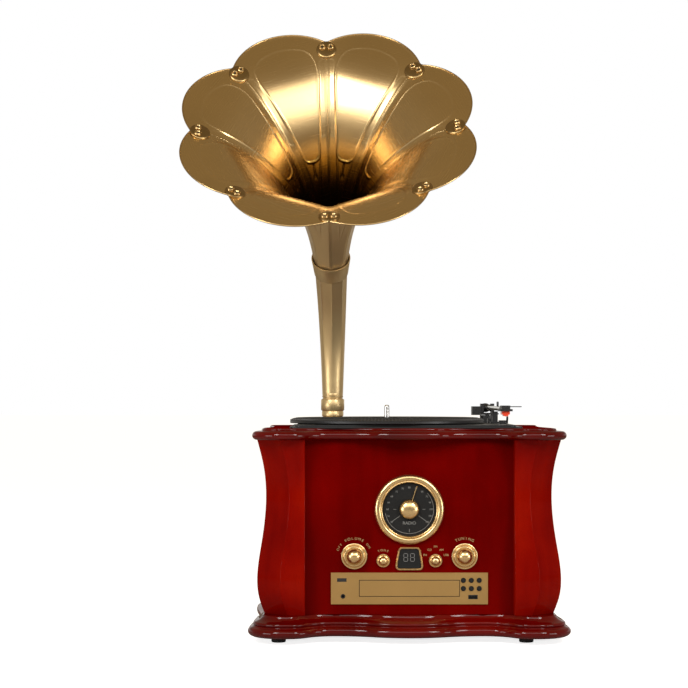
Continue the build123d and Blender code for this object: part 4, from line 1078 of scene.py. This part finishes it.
def dial():
    """Rolled gold rim, black face with scale, needle and gold hub."""
    rim = ((48.0, 0.0), (48.35, 0.6), (48.3, 2.4), (47.4, 4.6), (45.6, 6.2), (43.4, 7.0), (41.2, 6.6),
           (39.6, 5.4), (39.0, 4.4), (38.4, 4.6), (37.6, 4.2), (37.0, 3.0), (36.8, 1.2), (36.8, -0.8))
    stand_for(lathe("dial_rim", DIAL, OUT, rim, gold, "cabinet", 128, 40), "dial_bezel")
    arc = [DIAL + Vector((33.4 * sin(radians(a)), 0, 33.4 * cos(radians(a)))) * MM + OUT * -0.8 * MM
           for a in range(48, 262, 4)]
    tube("dial_arc", arc, 0.32, ink_dim, "cabinet", sides=6)
    hub = ((13.75, 0.0), (13.9, 0.8), (13.6, 1.6)) + dome(13.4, 1.8, 7.6, 6, 12)
    stand_for(lathe("dial_hub", DIAL, OUT, hub, gold, "pointer", 96, 40), "dial_pointer")
    along, turn = hand(18)
    block("dial_needle", DIAL + along * 22.5 * MM + OUT * 0.9 * MM, (21.0, 0.9, 1.15), gold, "pointer",
          0.2, turn)


dial()


def dial_scale():
    """Plain numbers, short dashes and two dividing lines on the dial."""
    for index, number in enumerate(range(52, 112, 4)):
        angle = radians(-126 + 18 * index)
        lettering(f"dial_number_{number}", str(number), dial_x + 30.0 * sin(angle),
                  dial_z + 30.0 * cos(angle), 3.4, ink_dim, out=-0.95)
    for index, (angle, near, far) in enumerate(((-90, 18.0, 22.0), (90, 18.0, 22.0), (-125, 15.5, 30.5),
                                                (125, 15.5, 30.5), (180, 27.0, 31.5))):
        along, turn = hand(angle)
        block(f"dial_dash_{index + 1}", DIAL + along * (near + far) / 2 * MM + OUT * -0.86 * MM,
              (far - near, 0.2, 0.55), ink_dim, "cabinet", 0.05, turn, 1)
    lettering("dial_word", "RADIO", dial_x, dial_z - 19.0, 6.0, ink_dim, out=-0.95)


dial_scale()


def arc_label(name, text, knob, radius, middle_angle, spacing, size):
    """Letters set one by one on an arc round a control."""
    x, z = front_place(knob)
    for index, letter in enumerate(text):
        angle = middle_angle + (index - (len(text) - 1) / 2) * spacing
        place = radians(angle)
        lettering(f"{name}_{index + 1}", letter, x + radius * sin(place), z + radius * cos(place), size,
                  gold_ink, spin=-angle)


for text, knob, *arc in (("VOLUME", "volume", 24.3, 0, 11.5, 5.2), ("OFF", "volume", 24.0, -58, 9.5, 4.4),
                         ("ON", "volume", 24.0, 54, 10.5, 4.4), ("TUNING", "tuning", 24.3, 0, 11.0, 5.2),
                         ("TONE", "tone", 14.2, 0, 17.0, 4.4)):
    arc_label(f"label_{text.lower()}", text, f"{knob}_knob", *arc)
selector_x, selector_z = front_place("selector_knob")
for word, shift, lift in (("PH", -14.4, 7.6), ("CD", -8.2, 14.6), ("FM", 0.0, 19.0), ("AM", 8.2, 14.6),
                          ("USB", 14.6, 7.6)):
    lettering(f"label_source_{word}", word, selector_x + shift, selector_z + lift, 4.2, gold_ink)


def seven_segments(name, x, z, digit_width, digit_height):
    """One seven-segment figure with every bar lit."""
    half_w, half_h, bar = digit_width / 2, digit_height / 2, 0.75
    bars = {"a": (0, half_h, 1), "b": (half_w, half_h / 2, 0), "c": (half_w, -half_h / 2, 0),
            "d": (0, -half_h, 1), "e": (-half_w, -half_h / 2, 0), "f": (-half_w, half_h / 2, 0),
            "g": (0, 0, 1)}
    for key, (dx, dz, flat) in bars.items():
        size = (digit_width - 1.0, 0.25, bar) if flat else (bar, 0.25, half_h - 1.0)
        block(f"{name}_{key}", on_front(x + dx, z + dz, 1.6), size, segments_dim, "cabinet",
              0.1, segments=1)


drawer_low, drawer_high = (Vector(c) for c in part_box("cd_drawer"))
drawer_x, drawer_z = (drawer_low.x + drawer_high.x) / 2, middle("cd_panel").z + 0.25 * MM
plate_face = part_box("cd_panel")[0][1]
drawer_w, drawer_h = (drawer_high.x - drawer_low.x) / MM, 21.4
# Painted shade: the dark lines round the drawer stand in for the shade in its gap.
GAP_SHIFT, GAP_WIDTH = 0.35, 1.0                    # dark line round the drawer
across_w, across_h = drawer_w + 4 * GAP_SHIFT, drawer_h + 4 * GAP_SHIFT
for name, dx, dz, width, height in (("top", 0, drawer_h / 2 + GAP_SHIFT, across_w, GAP_WIDTH),
                                    ("bottom", 0, -drawer_h / 2 - GAP_SHIFT, across_w, GAP_WIDTH),
                                    ("left", -drawer_w / 2 - GAP_SHIFT, 0, GAP_WIDTH, across_h),
                                    ("right", drawer_w / 2 + GAP_SHIFT, 0, GAP_WIDTH, across_h)):
    block(f"drawer_gap_{name}", Vector((drawer_x + dx * MM, plate_face - 0.04 * MM, drawer_z + dz * MM)),
          (width, 0.14, height), black_and_painted_shade, "cabinet", 0.03, segments=1)
SENSOR_X, SENSOR_Z, SENSOR_SIZE = -93.0, 85.4, (13.0, 0.3, 5.0)
block("sensor_window", Vector((CABINET.x + SENSOR_X * MM, plate_face - 0.05 * MM, SENSOR_Z * MM)),
      SENSOR_SIZE, black_gloss, "cabinet", 0.1, segments=1)

display_x, display_z = front_place("display_window")
for number, shift in enumerate((-5.0, 4.2)):
    seven_segments(f"digit_{number + 1}", display_x + shift, display_z + 1.8, 5.4, 10.6)
